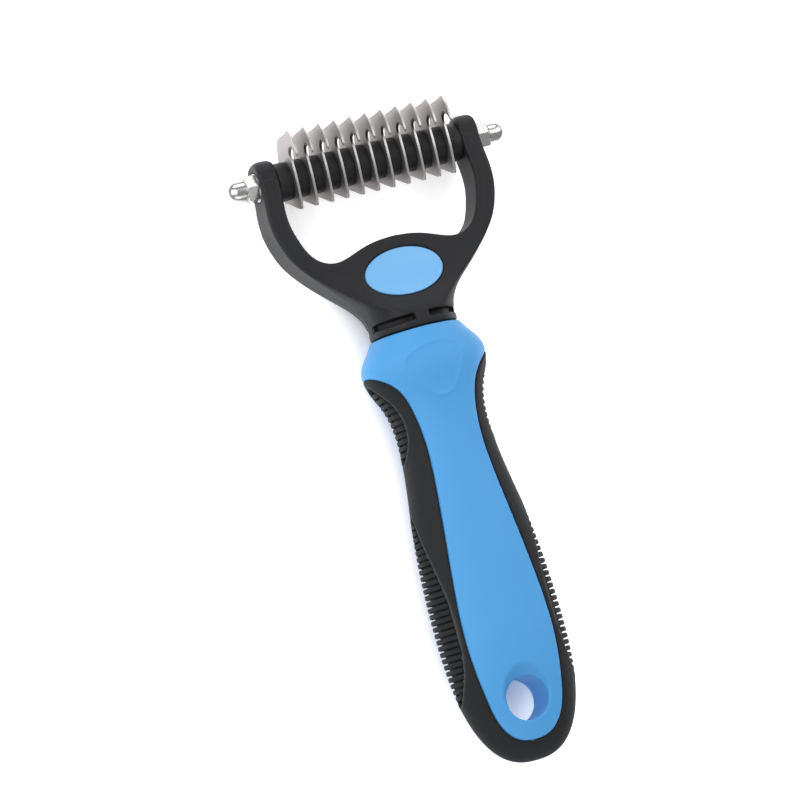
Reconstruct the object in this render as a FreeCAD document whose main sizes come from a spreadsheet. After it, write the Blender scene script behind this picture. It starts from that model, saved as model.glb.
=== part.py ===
"""Dematting comb: hook blades and spacers on a keyed rod, held between the arms of a fork whose
tang sits in a two-colour handle. Dome nuts clamp the pack.

Frame, in millimetres: X along the rod, Y up the handle towards the blades, Z out of the front
face. The origin is the centre of the hanging hole, on the mid-plane of the handle.
"""

import FreeCAD, Part

import math
import os

import Sketcher
from FreeCAD import Placement, Rotation, Vector

# ---------------------------------------------------------------- sizes

# Sizes that can be set by themselves.
DRIVING = {
    # the pack on the rod
    "blade_count": 11,
    "blade_thick": 0.8,
    "spacer_len": 4.45,
    "end_spacer_len": 4.6,
    "pack_play": 0.05,
    "spacer_dia": 12.4,
    "spacer_edge": 0.25,
    "rod_dia": 5.0,
    "rod_flat_share": 0.82,
    "rod_engaged": 6.6,
    "key_play": 0.05,
    "rod_play": 0.08,
    "thread_play": 0.05,
    # the hook blade, measured from the rod axis: rise up the handle, reach out of the front
    "apex_rise": 13.2,
    "apex_reach": 12.9,
    "beak_tip_rise": 4.3,
    "beak_tip_reach": 15.2,
    "beak_radius": 16.0,
    "throat_rise": 5.3,
    "throat_reach": 11.0,
    "throat_radius": 2.6,
    "edge_radius": 28.0,
    "heel_drop": 10.6,
    "heel_reach": 5.2,
    "corner_drop": 4.8,
    "corner_back": 10.4,
    "top_back_rise": 13.6,
    "top_back": 0.4,
    # nuts and washers
    "nut_flats": 8.0,
    "nut_hex_len": 3.9,
    "nut_len": 10.4,
    "nut_dome_dia": 7.7,
    "nut_groove": 0.25,
    "nut_bore_len": 7.9,
    "washer_dia": 9.2,
    "washer_thick": 1.0,
    "washer_play": 0.2,
    "washer_sink": 0.1,
    "washer_bore_play": 0.15,
    # the fork
    "hole_to_rod": 177.0,
    "head_len": 56.0,
    "arm_width": 6.3,
    "arm_depth": 13.0,
    "arm_end_rise": 8.1,
    "arm_end_round": 2.2,
    "arm_edge_round": 1.6,
    "arm_straight": 7.0,
    "arm_bow": 0.9,
    "bow_drop": 12.0,
    "bend_drop": 21.5,
    "plate_top_drop": 25.4,
    "trough_out": 20.0,
    "trough_drop": 29.7,
    "slope_out": 31.1,
    "slope_drop": 30.8,
    "flare_out": 18.1,
    "flare_drop": 44.2,
    "neck_half_width": 14.5,
    "neck_straight": 5.5,
    "neck_half_depth": 12.5,
    "neck_round": 11.6,
    "collar_len": 2.3,
    "neck_slot_len": 2.0,
    "neck_slot_depth": 1.8,
    "neck_slot_out": 13.2,
    "neck_rib": 4.6,
    "inlay_half_width": 13.1,
    "inlay_half_height": 7.8,
    "inlay_drop": 37.4,
    "inlay_recess": 1.5,
    "inlay_play": 0.05,
    "tang_width": 15.0,
    "tang_depth": 8.0,
    "tang_len": 34.0,
    "tang_play": 0.1,
    # the handle, by stations given as shares of its length above the hole
    "top_gap": 0.35,
    "top_half_width": 14.9,
    "top_half_depth": 13.1,
    "shoulder_share": 0.913,
    "shoulder_half_width": 20.7,
    "shoulder_half_depth": 14.3,
    "throat_share": 0.826,
    "throat_half_width": 17.3,
    "throat_half_depth": 12.6,
    "waist_share": 0.727,
    "waist_half_width": 15.4,
    "waist_half_depth": 11.1,
    "palm_share": 0.496,
    "palm_half_width": 18.7,
    "palm_half_depth": 11.1,
    "belly_share": 0.198,
    "belly_half_width": 21.1,
    "belly_half_depth": 11.5,
    "butt_drop": 19.8,
    # the blue panel between the two sides of the grip
    "panel_top_share": 0.921,
    "panel_shoulder_inset": 3.3,
    "panel_throat_half_width": 12.6,
    "panel_waist_half_width": 9.3,
    "panel_palm_half_width": 10.8,
    "panel_belly_half_width": 14.5,
    "panel_hole_half_width": 12.5,
    "panel_foot_half_width": 8.4,
    "panel_foot_drop": 10.2,
    "panel_butt_drop": 13.2,
    # the hanging hole and the core
    "hole_dia": 14.0,
    "hole_flare": 1.7,
    "hole_flare_depth": 4.25,
    "hole_wall_half": 8.0,
    "core_width": 19.0,
    "core_depth": 12.0,
    "core_end": 13.0,
    # ribbed patches on the grip
    "rib_pitch": 2.05,
    "rib_gap": 1.0,
    "rib_depth": 1.7,
    "upper_patch_low_share": 0.678,
    "upper_patch_high_share": 0.868,
    "lower_patch_low_share": 0.033,
    "lower_patch_high_share": 0.53,
}

# Sizes that follow from the driving ones.
WORKED_OUT = {
    "rod_flats": "rod_dia * rod_flat_share",
    "blade_pitch": "blade_thick + spacer_len",
    "pack_half": "(blade_count * blade_thick + (blade_count - 1) * spacer_len) / 2",
    "arm_inner": "pack_half + end_spacer_len + pack_play",
    "arm_outer": "arm_inner + arm_width",
    "rod_half": "arm_outer + rod_engaged",
    "arm_bore_dia": "rod_dia + 2 * rod_play",
    "washer_seat_dia": "washer_dia + 2 * washer_play",
    "washer_seat_len": "washer_thick + washer_sink",
    "plate_half": "arm_depth / 2",
    "inlay_at": "hole_to_rod - inlay_drop",
    "inlay_floor": "plate_half - inlay_recess",
    "handle_top": "hole_to_rod - head_len",
    "skin_top": "handle_top - top_gap",
    "shoulder_at": "handle_top * shoulder_share",
    "throat_at": "handle_top * throat_share",
    "waist_at": "handle_top * waist_share",
    "palm_at": "handle_top * palm_share",
    "belly_at": "handle_top * belly_share",
    "panel_top": "handle_top * panel_top_share",
    "upper_patch_low": "handle_top * upper_patch_low_share",
    "upper_patch_high": "handle_top * upper_patch_high_share",
    "lower_patch_low": "handle_top * lower_patch_low_share",
    "lower_patch_high": "handle_top * lower_patch_high_share",
}

# How far cutting blocks run past the solids that they cut.
CLEAR = 30.0

doc = FreeCAD.newDocument("dematting_comb")
sheet = doc.addObject("Spreadsheet::Sheet", "sizes")


def fill_sheet():
    """Puts the driving numbers and the formulas that follow from them into the sheet."""
    row = 1
    for alias, value in DRIVING.items():
        sheet.set("A%d" % row, alias)
        sheet.set("B%d" % row, str(value))
        sheet.setAlias("B%d" % row, alias)
        row += 1
    for alias, formula in WORKED_OUT.items():
        sheet.set("A%d" % row, alias)
        sheet.set("B%d" % row, "=" + formula)
        sheet.setAlias("B%d" % row, alias)
        row += 1
    doc.recompute()


def size(alias):
    """The present value of one cell of the sheet."""
    return float(sheet.get(alias))


def in_sheet(formula):
    """A formula with each size's name pointed at its cell."""
    text = ""
    word = ""
    for letter in formula + " ":
        if letter.isalnum() or letter == "_":
            word += letter
        else:
            known = word in DRIVING or word in WORKED_OUT
            text += ("sizes." + word if known else word) + letter
            word = ""
    return text.strip()


def bind(thing, **formulas):
    """Binds an object's properties to formulas in the sheet's sizes."""
    for name, formula in formulas.items():
        thing.setExpression(name.replace("__", "."), in_sheet(formula))


def place(thing, x="0", y="0", z="0"):
    """Binds an object's position."""
    thing.setExpression("Placement.Base.x", in_sheet(x))
    thing.setExpression("Placement.Base.y", in_sheet(y))
    thing.setExpression("Placement.Base.z", in_sheet(z))


# ---------------------------------------------------------------- sketches and bodies


def new_body(name):
    body = doc.addObject("PartDesign::Body", name)
    body.Label = name
    return body


def new_sketch(body, name, role):
    """A sketch on one of the body's own origin planes."""
    sketch = body.newObject("Sketcher::SketchObject", name)
    plane = [f for f in body.Origin.OriginFeatures if f.Role == role][0]
    sketch.AttachmentSupport = [(plane, "")]
    sketch.MapMode = "FlatFace"
    return sketch


def fix_point(sketch, geometry, end, across=None, up=None):
    """Ties a point of the sketch to formulas, each counted from the sketch's origin."""
    point = sketch.getPoint(geometry, end)
    for kind, formula, value in (("DistanceX", across, point.x), ("DistanceY", up, point.y)):
        if formula is not None:
            index = sketch.addConstraint(Sketcher.Constraint(kind, -1, 1, geometry, end, value))
            sketch.setExpression("Constraints[%d]" % index, in_sheet(formula))


def fix_radius(sketch, geometry, formula, value):
    index = sketch.addConstraint(Sketcher.Constraint("Radius", geometry, value))
    sketch.setExpression("Constraints[%d]" % index, in_sheet(formula))


def join(sketch, pairs):
    """Makes the end of each listed geometry meet the start of the next."""
    for (first, first_end), (second, second_end) in pairs:
        sketch.addConstraint(Sketcher.Constraint("Coincident", first, first_end, second, second_end))


def add_circle(sketch, diameter):
    """A circle on the sketch's origin."""
    circle = sketch.addGeometry(Part.Circle(Vector(0, 0, 0), Vector(0, 0, 1), 1.0))
    sketch.addConstraint(Sketcher.Constraint("Coincident", circle, 3, -1, 1))
    index = sketch.addConstraint(Sketcher.Constraint("Diameter", circle, 2.0))
    sketch.setExpression("Constraints[%d]" % index, in_sheet(diameter))


def add_double_flat(sketch, diameter, flats):
    """The keyed outline of the rod: a circle with two flats, centred on the sketch's origin."""
    radius = size("rod_dia") / 2
    half = size("rod_flats") / 2
    lean = math.asin(half / radius)
    circle = Part.Circle(Vector(0, 0, 0), Vector(0, 0, 1), radius)
    run = radius * math.cos(lean)
    right = sketch.addGeometry(Part.ArcOfCircle(circle, -lean, lean))
    top = sketch.addGeometry(Part.LineSegment(Vector(run, half, 0), Vector(-run, half, 0)))
    left = sketch.addGeometry(Part.ArcOfCircle(circle, math.pi - lean, math.pi + lean))
    foot = sketch.addGeometry(Part.LineSegment(Vector(-run, -half, 0), Vector(run, -half, 0)))
    join(sketch, [((right, 3), (-1, 1)), ((left, 3), (-1, 1)), ((right, 2), (top, 1))])
    join(sketch, [((top, 2), (left, 1)), ((left, 2), (foot, 1)), ((foot, 2), (right, 1))])
    sketch.addConstraint(Sketcher.Constraint("Horizontal", top))
    sketch.addConstraint(Sketcher.Constraint("Horizontal", foot))
    sketch.addConstraint(Sketcher.Constraint("Equal", right, left))
    fix_radius(sketch, right, "(" + diameter + ") / 2", radius)
    for low, high in (((-1, 1), (top, 1)), ((foot, 1), (-1, 1))):
        index = sketch.addConstraint(Sketcher.Constraint("DistanceY", *low, *high, half))
        sketch.setExpression("Constraints[%d]" % index, in_sheet("(" + flats + ") / 2"))


def pad(body, sketch, length, both_ways=True):
    feature = body.newObject("PartDesign::Pad", sketch.Name + "_pad")
    feature.Profile = sketch
    feature.Midplane = both_ways
    bind(feature, Length=length)
    sketch.Visibility = False
    return feature


# ---------------------------------------------------------------- plain solids


def cylinder_on_x(name, diameter, length, start, y):
    """A cylinder along X that begins at `start`."""
    solid = doc.addObject("Part::Cylinder", name)
    solid.Placement = Placement(Vector(0, 0, 0), Rotation(Vector(0, 1, 0), 90))
    bind(solid, Radius="(" + diameter + ") / 2", Height=length)
    place(solid, start, y, "0")
    return solid


def block(name, length, width, height, x, y, z):
    """A box by its three sizes and the centre of each side."""
    solid = doc.addObject("Part::Box", name)
    bind(solid, Length=length, Width=width, Height=height)
    place(
        solid,
        "(%s) - (%s) / 2" % (x, length),
        "(%s) - (%s) / 2" % (y, width),
        "(%s) - (%s) / 2" % (z, height),
    )
    return solid


def cut(name, base, *tools):
    """The base without its tools."""
    tool = tools[0] if len(tools) == 1 else fuse(name + "_tools", *tools)
    result = doc.addObject("Part::Cut", name)
    result.Base = base
    result.Tool = tool
    result.Label = name
    return result


def fuse(name, *solids):
    result = doc.addObject("Part::MultiFuse", name)
    result.Shapes = list(solids)
    result.Label = name
    return result


def common(name, first, second):
    result = doc.addObject("Part::Common", name)
    result.Base = first
    result.Tool = second
    result.Label = name
    return result


def shaped(name, shape):
    """A feature that holds a shape worked out in code from the sheet."""
    feature = doc.addObject("Part::Feature", name)
    feature.Shape = shape
    feature.Label = name
    return feature


def spline(points):
    """A smooth curve through the points."""
    curve = Part.BSplineCurve()
    curve.interpolate([Vector(*point) for point in points])
    return curve.toShape()


def line(start, end):
    return Part.LineSegment(Vector(*start), Vector(*end)).toShape()


# ---------------------------------------------------------------- the pack on the rod


def rod():
    """Keyed rod: threaded over its ends, two flats along its whole length."""
    body = new_body("rod")
    sketch = new_sketch(body, "rod_outline", "YZ_Plane")
    add_double_flat(sketch, "rod_dia", "rod_flats")
    pad(body, sketch, "2 * rod_half")
    place(body, "0", "hole_to_rod")
    return body


def tube(name, length, x):
    """A spacer tube with the rod's keyed hole."""
    body = new_body(name)
    sketch = new_sketch(body, name + "_outline", "YZ_Plane")
    add_circle(sketch, "spacer_dia")
    add_double_flat(sketch, "rod_dia + 2 * key_play", "rod_flats + 2 * key_play")
    sleeve = pad(body, sketch, length)
    doc.recompute()
    rims = []
    for number, edge in enumerate(sleeve.Shape.Edges, start=1):
        ring = hasattr(edge.Curve, "Radius") and len(edge.Vertexes) == 1
        if ring and abs(edge.Curve.Radius - size("spacer_dia") / 2) < 1e-6:
            rims.append("Edge%d" % number)
    chamfer = body.newObject("PartDesign::Chamfer", name + "_rims")
    chamfer.Base = (sleeve, rims)
    bind(chamfer, Size="spacer_edge")
    place(body, x, "hole_to_rod")
    return body


def add_bow(sketch, start, end, radius):
    """A shallow arc that bulges to the left of its way from start to end. Returns its number and
    which of its ends are the start and the end."""
    run = Vector(end[0] - start[0], end[1] - start[1], 0)
    half = run.Length / 2
    rise = radius - math.sqrt(radius**2 - half**2)
    middle = Vector(start[0] + run.x / 2, start[1] + run.y / 2, 0)
    bulge = middle + Vector(-run.y, run.x, 0) * (rise / run.Length)
    number = sketch.addGeometry(Part.Arc(Vector(*start, 0), bulge, Vector(*end, 0)))
    first = sketch.getPoint(number, 1)
    if first.distanceToPoint(Vector(*start, 0)) < 1e-6:
        return number, 1, 2
    return number, 2, 1


def hook_blade(name, x):
    """A flat hook blade: bowed cutting edge down the front, hooked beak above it, keyed hole.
    The sketch's X is the rise up the handle and its Y is the reach out of the front."""
    body = new_body(name)
    sketch = new_sketch(body, name + "_outline", "YZ_Plane")
    apex = (size("apex_rise"), size("apex_reach"))
    tip = (size("beak_tip_rise"), size("beak_tip_reach"))
    eye = (size("throat_rise"), size("throat_reach"))
    radius = size("throat_radius")
    inner = (eye[0], eye[1] + radius)
    edge_top = (eye[0], eye[1] - radius)
    heel = (-size("heel_drop"), size("heel_reach"))
    corner = (-size("corner_drop"), -size("corner_back"))
    top_back = (size("top_back_rise"), -size("top_back"))
    beak, beak_tip, beak_apex = add_bow(sketch, tip, apex, size("beak_radius"))
    bite = sketch.addGeometry(Part.LineSegment(Vector(*tip, 0), Vector(*inner, 0)))
    ring = Part.Circle(Vector(*eye, 0), Vector(0, 0, 1), radius)
    throat = sketch.addGeometry(Part.ArcOfCircle(ring, -math.pi / 2, math.pi / 2))
    edge, edge_heel, edge_throat = add_bow(sketch, heel, edge_top, size("edge_radius"))
    foot = sketch.addGeometry(Part.LineSegment(Vector(*heel, 0), Vector(*corner, 0)))
    back = sketch.addGeometry(Part.LineSegment(Vector(*corner, 0), Vector(*top_back, 0)))
    top = sketch.addGeometry(Part.LineSegment(Vector(*top_back, 0), Vector(*apex, 0)))
    join(sketch, [((beak, beak_tip), (bite, 1)), ((bite, 2), (throat, 2))])
    join(sketch, [((throat, 1), (edge, edge_throat)), ((edge, edge_heel), (foot, 1))])
    join(sketch, [((foot, 2), (back, 1)), ((back, 2), (top, 1)), ((top, 2), (beak, beak_apex))])
    fix_point(sketch, top, 2, "apex_rise", "apex_reach")
    fix_point(sketch, bite, 1, "beak_tip_rise", "beak_tip_reach")
    fix_point(sketch, throat, 3, "throat_rise", "throat_reach")
    fix_radius(sketch, throat, "throat_radius", radius)
    fix_radius(sketch, beak, "beak_radius", size("beak_radius"))
    fix_radius(sketch, edge, "edge_radius", size("edge_radius"))
    fix_point(sketch, throat, 1, across="throat_rise")
    fix_point(sketch, bite, 2, across="throat_rise")
    fix_point(sketch, foot, 1, "-heel_drop", "heel_reach")
    fix_point(sketch, back, 1, "-corner_drop", "-corner_back")
    fix_point(sketch, top, 1, "top_back_rise", "-top_back")
    add_double_flat(sketch, "rod_dia + 2 * key_play", "rod_flats + 2 * key_play")
    pad(body, sketch, "blade_thick")
    place(body, x, "hole_to_rod")
    return body


def acorn_nut(name, x, turn):
    """A hexagon with a dome on it, bored from its flat side. Its own X runs out to the dome."""
    body = new_body(name)
    outline = new_sketch(body, name + "_hexagon", "YZ_Plane")
    corner = size("nut_flats") / math.sqrt(3)
    points = [
        Vector(corner * math.cos(math.radians(60 * k)), corner * math.sin(math.radians(60 * k)), 0)
        for k in range(6)
    ]
    for k in range(6):
        outline.addGeometry(Part.LineSegment(points[k], points[(k + 1) % 6]))
    join(outline, [((k, 2), ((k + 1) % 6, 1)) for k in range(6)])
    for k in range(6):
        across = "nut_flats / sqrt(3) * cos(%d deg)" % (60 * k)
        up = "nut_flats / sqrt(3) * sin(%d deg)" % (60 * k)
        fix_point(outline, k, 1, across, up)
    pad(body, outline, "nut_hex_len", both_ways=False)
    dome = new_sketch(body, name + "_dome_profile", "XY_Plane")
    add_dome_profile(dome)
    turned = body.newObject("PartDesign::Revolution", name + "_dome")
    turned.Profile = dome
    turned.ReferenceAxis = (dome, ["H_Axis"])
    turned.Angle = 360.0
    bore = new_sketch(body, name + "_bore_outline", "YZ_Plane")
    add_circle(bore, "rod_dia + 2 * thread_play")
    pocket = body.newObject("PartDesign::Pocket", name + "_bore")
    pocket.Profile = bore
    pocket.Reversed = True
    bind(pocket, Length="nut_bore_len")
    body.Placement = Placement(Vector(0, 0, 0), Rotation(Vector(0, 0, 1), turn))
    place(body, x, "hole_to_rod")
    return body


def add_dome_profile(sketch):
    """Half the dome's section: neck groove, barrel and round end, above the nut's axis."""
    start = size("nut_hex_len") - size("nut_groove")
    shoulder = size("nut_hex_len") + size("nut_groove")
    radius = size("nut_dome_dia") / 2
    neck = radius - size("nut_groove")
    crown = size("nut_len") - radius
    corners = [
        Vector(start, 0, 0),
        Vector(start, neck, 0),
        Vector(shoulder, neck, 0),
        Vector(shoulder, radius, 0),
        Vector(crown, radius, 0),
    ]
    for first, second in zip(corners, corners[1:]):
        sketch.addGeometry(Part.LineSegment(first, second))
    ring = Part.Circle(Vector(crown, 0, 0), Vector(0, 0, 1), radius)
    arc = sketch.addGeometry(Part.ArcOfCircle(ring, 0, math.pi / 2))
    axis = sketch.addGeometry(Part.LineSegment(Vector(size("nut_len"), 0, 0), corners[0]))
    join(sketch, [((k, 2), (k + 1, 1)) for k in range(3)])
    join(sketch, [((3, 2), (arc, 2)), ((arc, 1), (axis, 1)), ((axis, 2), (0, 1))])
    fix_point(sketch, 0, 1, "nut_hex_len - nut_groove", "0")
    fix_point(sketch, 1, 1, "nut_hex_len - nut_groove", "nut_dome_dia / 2 - nut_groove")
    fix_point(sketch, 2, 1, "nut_hex_len + nut_groove", "nut_dome_dia / 2 - nut_groove")
    fix_point(sketch, 3, 1, "nut_hex_len + nut_groove", "nut_dome_dia / 2")
    fix_point(sketch, 3, 2, "nut_len - nut_dome_dia / 2", "nut_dome_dia / 2")
    fix_point(sketch, axis, 1, "nut_len", "0")
    fix_point(sketch, arc, 3, up="0")


def washer(name, x):
    body = new_body(name)
    sketch = new_sketch(body, name + "_outline", "YZ_Plane")
    add_circle(sketch, "washer_dia")
    add_circle(sketch, "rod_dia + 2 * washer_bore_play")
    pad(body, sketch, "washer_thick")
    place(body, x, "hole_to_rod")
    return body


# ---------------------------------------------------------------- the fork


def blend(start, end, share):
    """The value at this share of the way from start to end."""
    return start + (end - start) * share


def mirrored(points):
    """Points for the other half, in the order that carries an outline on."""
    return [(-x, y, z) for x, y, z in reversed(points) if x > 0]


def quarter_turn(start, corner, end):
    """The quarter circle between two points whose tangents cross at the corner."""
    start, corner, end = Vector(*start), Vector(*corner), Vector(*end)
    centre = start + end - corner
    middle = centre + (corner - centre) * math.sqrt(0.5)
    return Part.Arc(start, middle, end).toShape()


def window_side():
    """The inner outline, from the right arm's straight end down to the middle of the plate."""
    rod_y = size("hole_to_rod")
    inner = size("arm_inner")
    out = size("trough_out")
    trough = rod_y - size("trough_drop")
    crest = rod_y - size("plate_top_drop")
    return [
        (inner, rod_y - size("arm_straight"), 0),
        (inner + 0.3 * size("arm_bow"), rod_y - size("arm_straight") - 2.0, 0),
        (inner + size("arm_bow"), rod_y - size("bow_drop"), 0),
        (blend(inner, out, 0.15), rod_y - size("bend_drop"), 0),
        (blend(inner, out, 0.5), blend(trough, crest, 0.4), 0),
        (out, trough, 0),
        (out * 0.65, blend(trough, crest, 0.48), 0),
        (0, crest, 0),
    ]


def outer_side():
    """The outer outline, from the right arm's straight end down to the foot of the neck."""
    rod_y = size("hole_to_rod")
    outer = size("arm_outer")
    neck = size("neck_half_width")
    foot = size("handle_top")
    return [
        (outer, rod_y - size("arm_straight"), 0),
        (outer + 0.3 * size("arm_bow"), rod_y - size("arm_straight") - 2.0, 0),
        (outer + size("arm_bow"), rod_y - size("bow_drop"), 0),
        (blend(outer, size("slope_out"), 0.27), rod_y - size("bend_drop") - 1.4, 0),
        (size("slope_out"), rod_y - size("slope_drop"), 0),
        (size("flare_out"), rod_y - size("flare_drop"), 0),
        (neck + 0.2, foot + size("neck_straight"), 0),
        (neck, foot, 0),
    ]


def arm_end(side):
    """The outline of one arm's straight end, with its two rounded corners."""
    low = size("hole_to_rod") - size("arm_straight")
    top = size("hole_to_rod") + size("arm_end_rise")
    turn = size("arm_end_round")
    edges = []
    for face, inwards in ((size("arm_inner"), 1), (size("arm_outer"), -1)):
        x = side * face
        across = side * (face + inwards * turn)
        edges.append(line((x, low, 0), (x, top - turn, 0)))
        edges.append(quarter_turn((x, top - turn, 0), (x, top, 0), (across, top, 0)))
    first = side * (size("arm_inner") + turn)
    last = side * (size("arm_outer") - turn)
    edges.append(line((first, top, 0), (last, top, 0)))
    return edges


def fork_plate():
    """The yoke seen from the front: two bowed arms, the plate between them and the neck's flare,
    with rounded edges and ends rounded about the rod."""
    half = size("plate_half")
    foot = size("handle_top")
    window = window_side()
    outside = outer_side()
    neck = outside[-1][0]
    edges = [spline(window + mirrored(window)), spline(outside), spline(mirrored(outside))]
    edges.append(line((neck, foot, 0), (-neck, foot, 0)))
    edges.extend(arm_end(1))
    edges.extend(arm_end(-1))
    face = Part.Face(Part.Wire(Part.__sortEdges__(edges)))
    face.translate(Vector(0, 0, -half))
    slab = face.extrude(Vector(0, 0, 2 * half))
    rims = [
        edge
        for edge in slab.Edges
        if edge.BoundBox.ZLength < 1e-6 and edge.BoundBox.YMax > foot + 1
    ]
    slab = slab.makeFillet(size("arm_edge_round"), rims)
    centre = size("hole_to_rod") + size("arm_end_rise") - half
    reach = size("arm_outer") + CLEAR
    round_end = Part.makeCylinder(half, 2 * reach, Vector(-reach, centre, 0), Vector(1, 0, 0))
    low = Vector(-reach, foot - CLEAR, -half - 1)
    below = Part.makeBox(2 * reach, centre - low.y, 2 * half + 2, low)
    return slab.common(round_end.fuse(below))


def rounded_section(y, half_width, half_depth, radius):
    """A rounded rectangle across the handle's axis, as a wire of four lines and four arcs."""
    w, d, r = half_width, half_depth, radius
    bend = r * (1 - math.sqrt(0.5))
    edges = []
    for sx, sz in ((1, 1), (-1, 1), (-1, -1), (1, -1)):
        side = Vector(sx * w, y, sz * (d - r))
        middle = Vector(sx * (w - bend), y, sz * (d - bend))
        face = Vector(sx * (w - r), y, sz * d)
        first, last = (side, face) if sx * sz > 0 else (face, side)
        edges.append(Part.Arc(first, middle, last).toShape())
    corners = [(e.Vertexes[0].Point, e.Vertexes[-1].Point) for e in edges]
    ring = []
    for k, edge in enumerate(edges):
        ring.append(edge)
        ring.append(Part.LineSegment(corners[k][1], corners[(k + 1) % 4][0]).toShape())
    return Part.Wire(ring)


def fork_neck():
    """The neck: nearly round at the handle, flattening and spreading into the plate."""
    foot = size("handle_top")
    width = size("neck_half_width")
    depth = size("neck_half_depth")
    round_off = size("neck_round")
    plate = size("plate_half")
    flare = size("flare_out")
    spread = size("hole_to_rod") - size("flare_drop") - foot
    stages = [
        (foot, width, depth, round_off),
        (foot + 0.42 * spread, width + 0.2, depth - 0.2, 0.95 * round_off),
        (foot + 0.85 * spread, blend(width, flare, 0.8), blend(depth, plate, 0.43), plate - 1),
        (foot + 1.36 * spread, flare + 3.5, plate + 1, plate / 2),
        (foot + 2.03 * spread, flare + 5.7, plate - 0.9, plate / 3),
    ]
    return Part.makeLoft([rounded_section(*stage) for stage in stages], True, False)


def neck_slots():
    """Cutters for the two slots on each face of the neck, either side of the middle rib."""
    low = size("handle_top") + size("collar_len")
    length = size("neck_slot_len")
    out = size("neck_slot_out")
    rib = size("neck_rib") / 2
    depth = size("neck_half_depth")
    floor = size("neck_slot_depth")
    core = rounded_section(
        low, size("neck_half_width") - floor, depth - floor, size("neck_round") - floor
    )
    kept = Part.Face(core).extrude(Vector(0, length, 0))
    cutters = []
    for side in (1, -1):
        for face in (1, -1):
            across = rib if side > 0 else -out
            start = Vector(across, low, 0 if face > 0 else -depth - 1)
            cutters.append(Part.makeBox(out - rib, length, depth + 1, start))
    return cutters[0].fuse(cutters[1:]).cut(kept)


def inlay_prism(play):
    """An elliptical prism along Z at the badge's place, through the whole plate."""
    centre = Vector(0, size("inlay_at"), -CLEAR)
    major = size("inlay_half_width") + play
    minor = size("inlay_half_height") + play
    rim = Part.Ellipse(centre + Vector(major, 0, 0), centre + Vector(0, minor, 0), centre)
    return Part.Face(Part.Wire(rim.toShape())).extrude(Vector(0, 0, 2 * CLEAR))


def badge_layer(way):
    """The space in front of (1) or behind (-1) the badges' seats."""
    floor = size("inlay_floor")
    start = floor if way > 0 else -floor - CLEAR
    return Part.makeBox(
        2 * CLEAR, 2 * CLEAR, CLEAR, Vector(-CLEAR, size("inlay_at") - CLEAR, start)
    )


def fork_and_inlays():
    """The fork with its bores, washer seats, badge recesses and tang, and the two badges."""
    blank = fork_plate().fuse(fork_neck()).removeSplitter()
    layers = (("oval_inlay_front", badge_layer(1)), ("oval_inlay_back", badge_layer(-1)))
    inlays = []
    moulding = blank.cut(neck_slots())
    for name, layer in layers:
        inlays.append(shaped(name, blank.common(inlay_prism(0)).common(layer)))
        moulding = moulding.cut(inlay_prism(size("inlay_play")).common(layer))
    moulding = shaped("fork_moulding", moulding)
    tang_y = "handle_top + 1 - (tang_len + 1) / 2"
    tang = block("fork_tang", "tang_width", "tang_len + 1", "tang_depth", "0", tang_y, "0")
    bore = cylinder_on_x("arm_bores", "arm_bore_dia", "2 * rod_half", "-rod_half", "hole_to_rod")
    seats = []
    for side, start in (("right", "arm_outer - washer_seat_len"), ("left", "-arm_outer - 2")):
        length = "washer_seat_len + 2"
        name = "washer_seat_" + side
        seats.append(cylinder_on_x(name, "washer_seat_dia", length, start, "hole_to_rod"))
    fork = cut("fork", fuse("fork_with_tang", moulding, tang), bore, *seats)
    return fork, inlays


# ---------------------------------------------------------------- the handle


def handle_stations():
    """Half width and half depth at stations down the handle, butt last. The shoulder swells from
    the neck on a cosine; the butt closes on a rounder-than-elliptical curve."""
    top = size("handle_top") - size("top_gap")
    crown = size("shoulder_at")
    stations = []
    for share in (1.0, 0.78, 0.52, 0.26):
        swell = math.cos(share * math.pi / 2) ** 1.3
        half_width = blend(size("top_half_width"), size("shoulder_half_width"), swell)
        half_depth = blend(size("top_half_depth"), size("shoulder_half_depth"), swell)
        stations.append((blend(crown, top, share), half_width, half_depth))
    for name in ("shoulder", "throat", "waist", "palm", "belly"):
        stations.append(
            (size(name + "_at"), size(name + "_half_width"), size(name + "_half_depth"))
        )
    belly = size("belly_at")
    run = belly + size("butt_drop")
    for share in (0.3, 0.55, 0.75, 0.88, 0.96, 0.993):
        half_width = size("belly_half_width") * (1 - share**2.5) ** (1 / 2.5)
        half_depth = size("belly_half_depth") * (1 - share**1.8) ** (1 / 1.8)
        stations.append((belly - share * run, half_width, half_depth))
    return stations


def handle_envelope():
    """The outer shape of the whole handle."""
    rings = []
    for y, half_width, half_depth in handle_stations():
        centre = Vector(0, y, 0)
        side = centre + Vector(half_width, 0, 0)
        ring = Part.Ellipse(side, centre + Vector(0, 0, half_depth), centre)
        rings.append(Part.Wire(ring.toShape()))
    return Part.makeLoft(rings, True, False)


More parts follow.
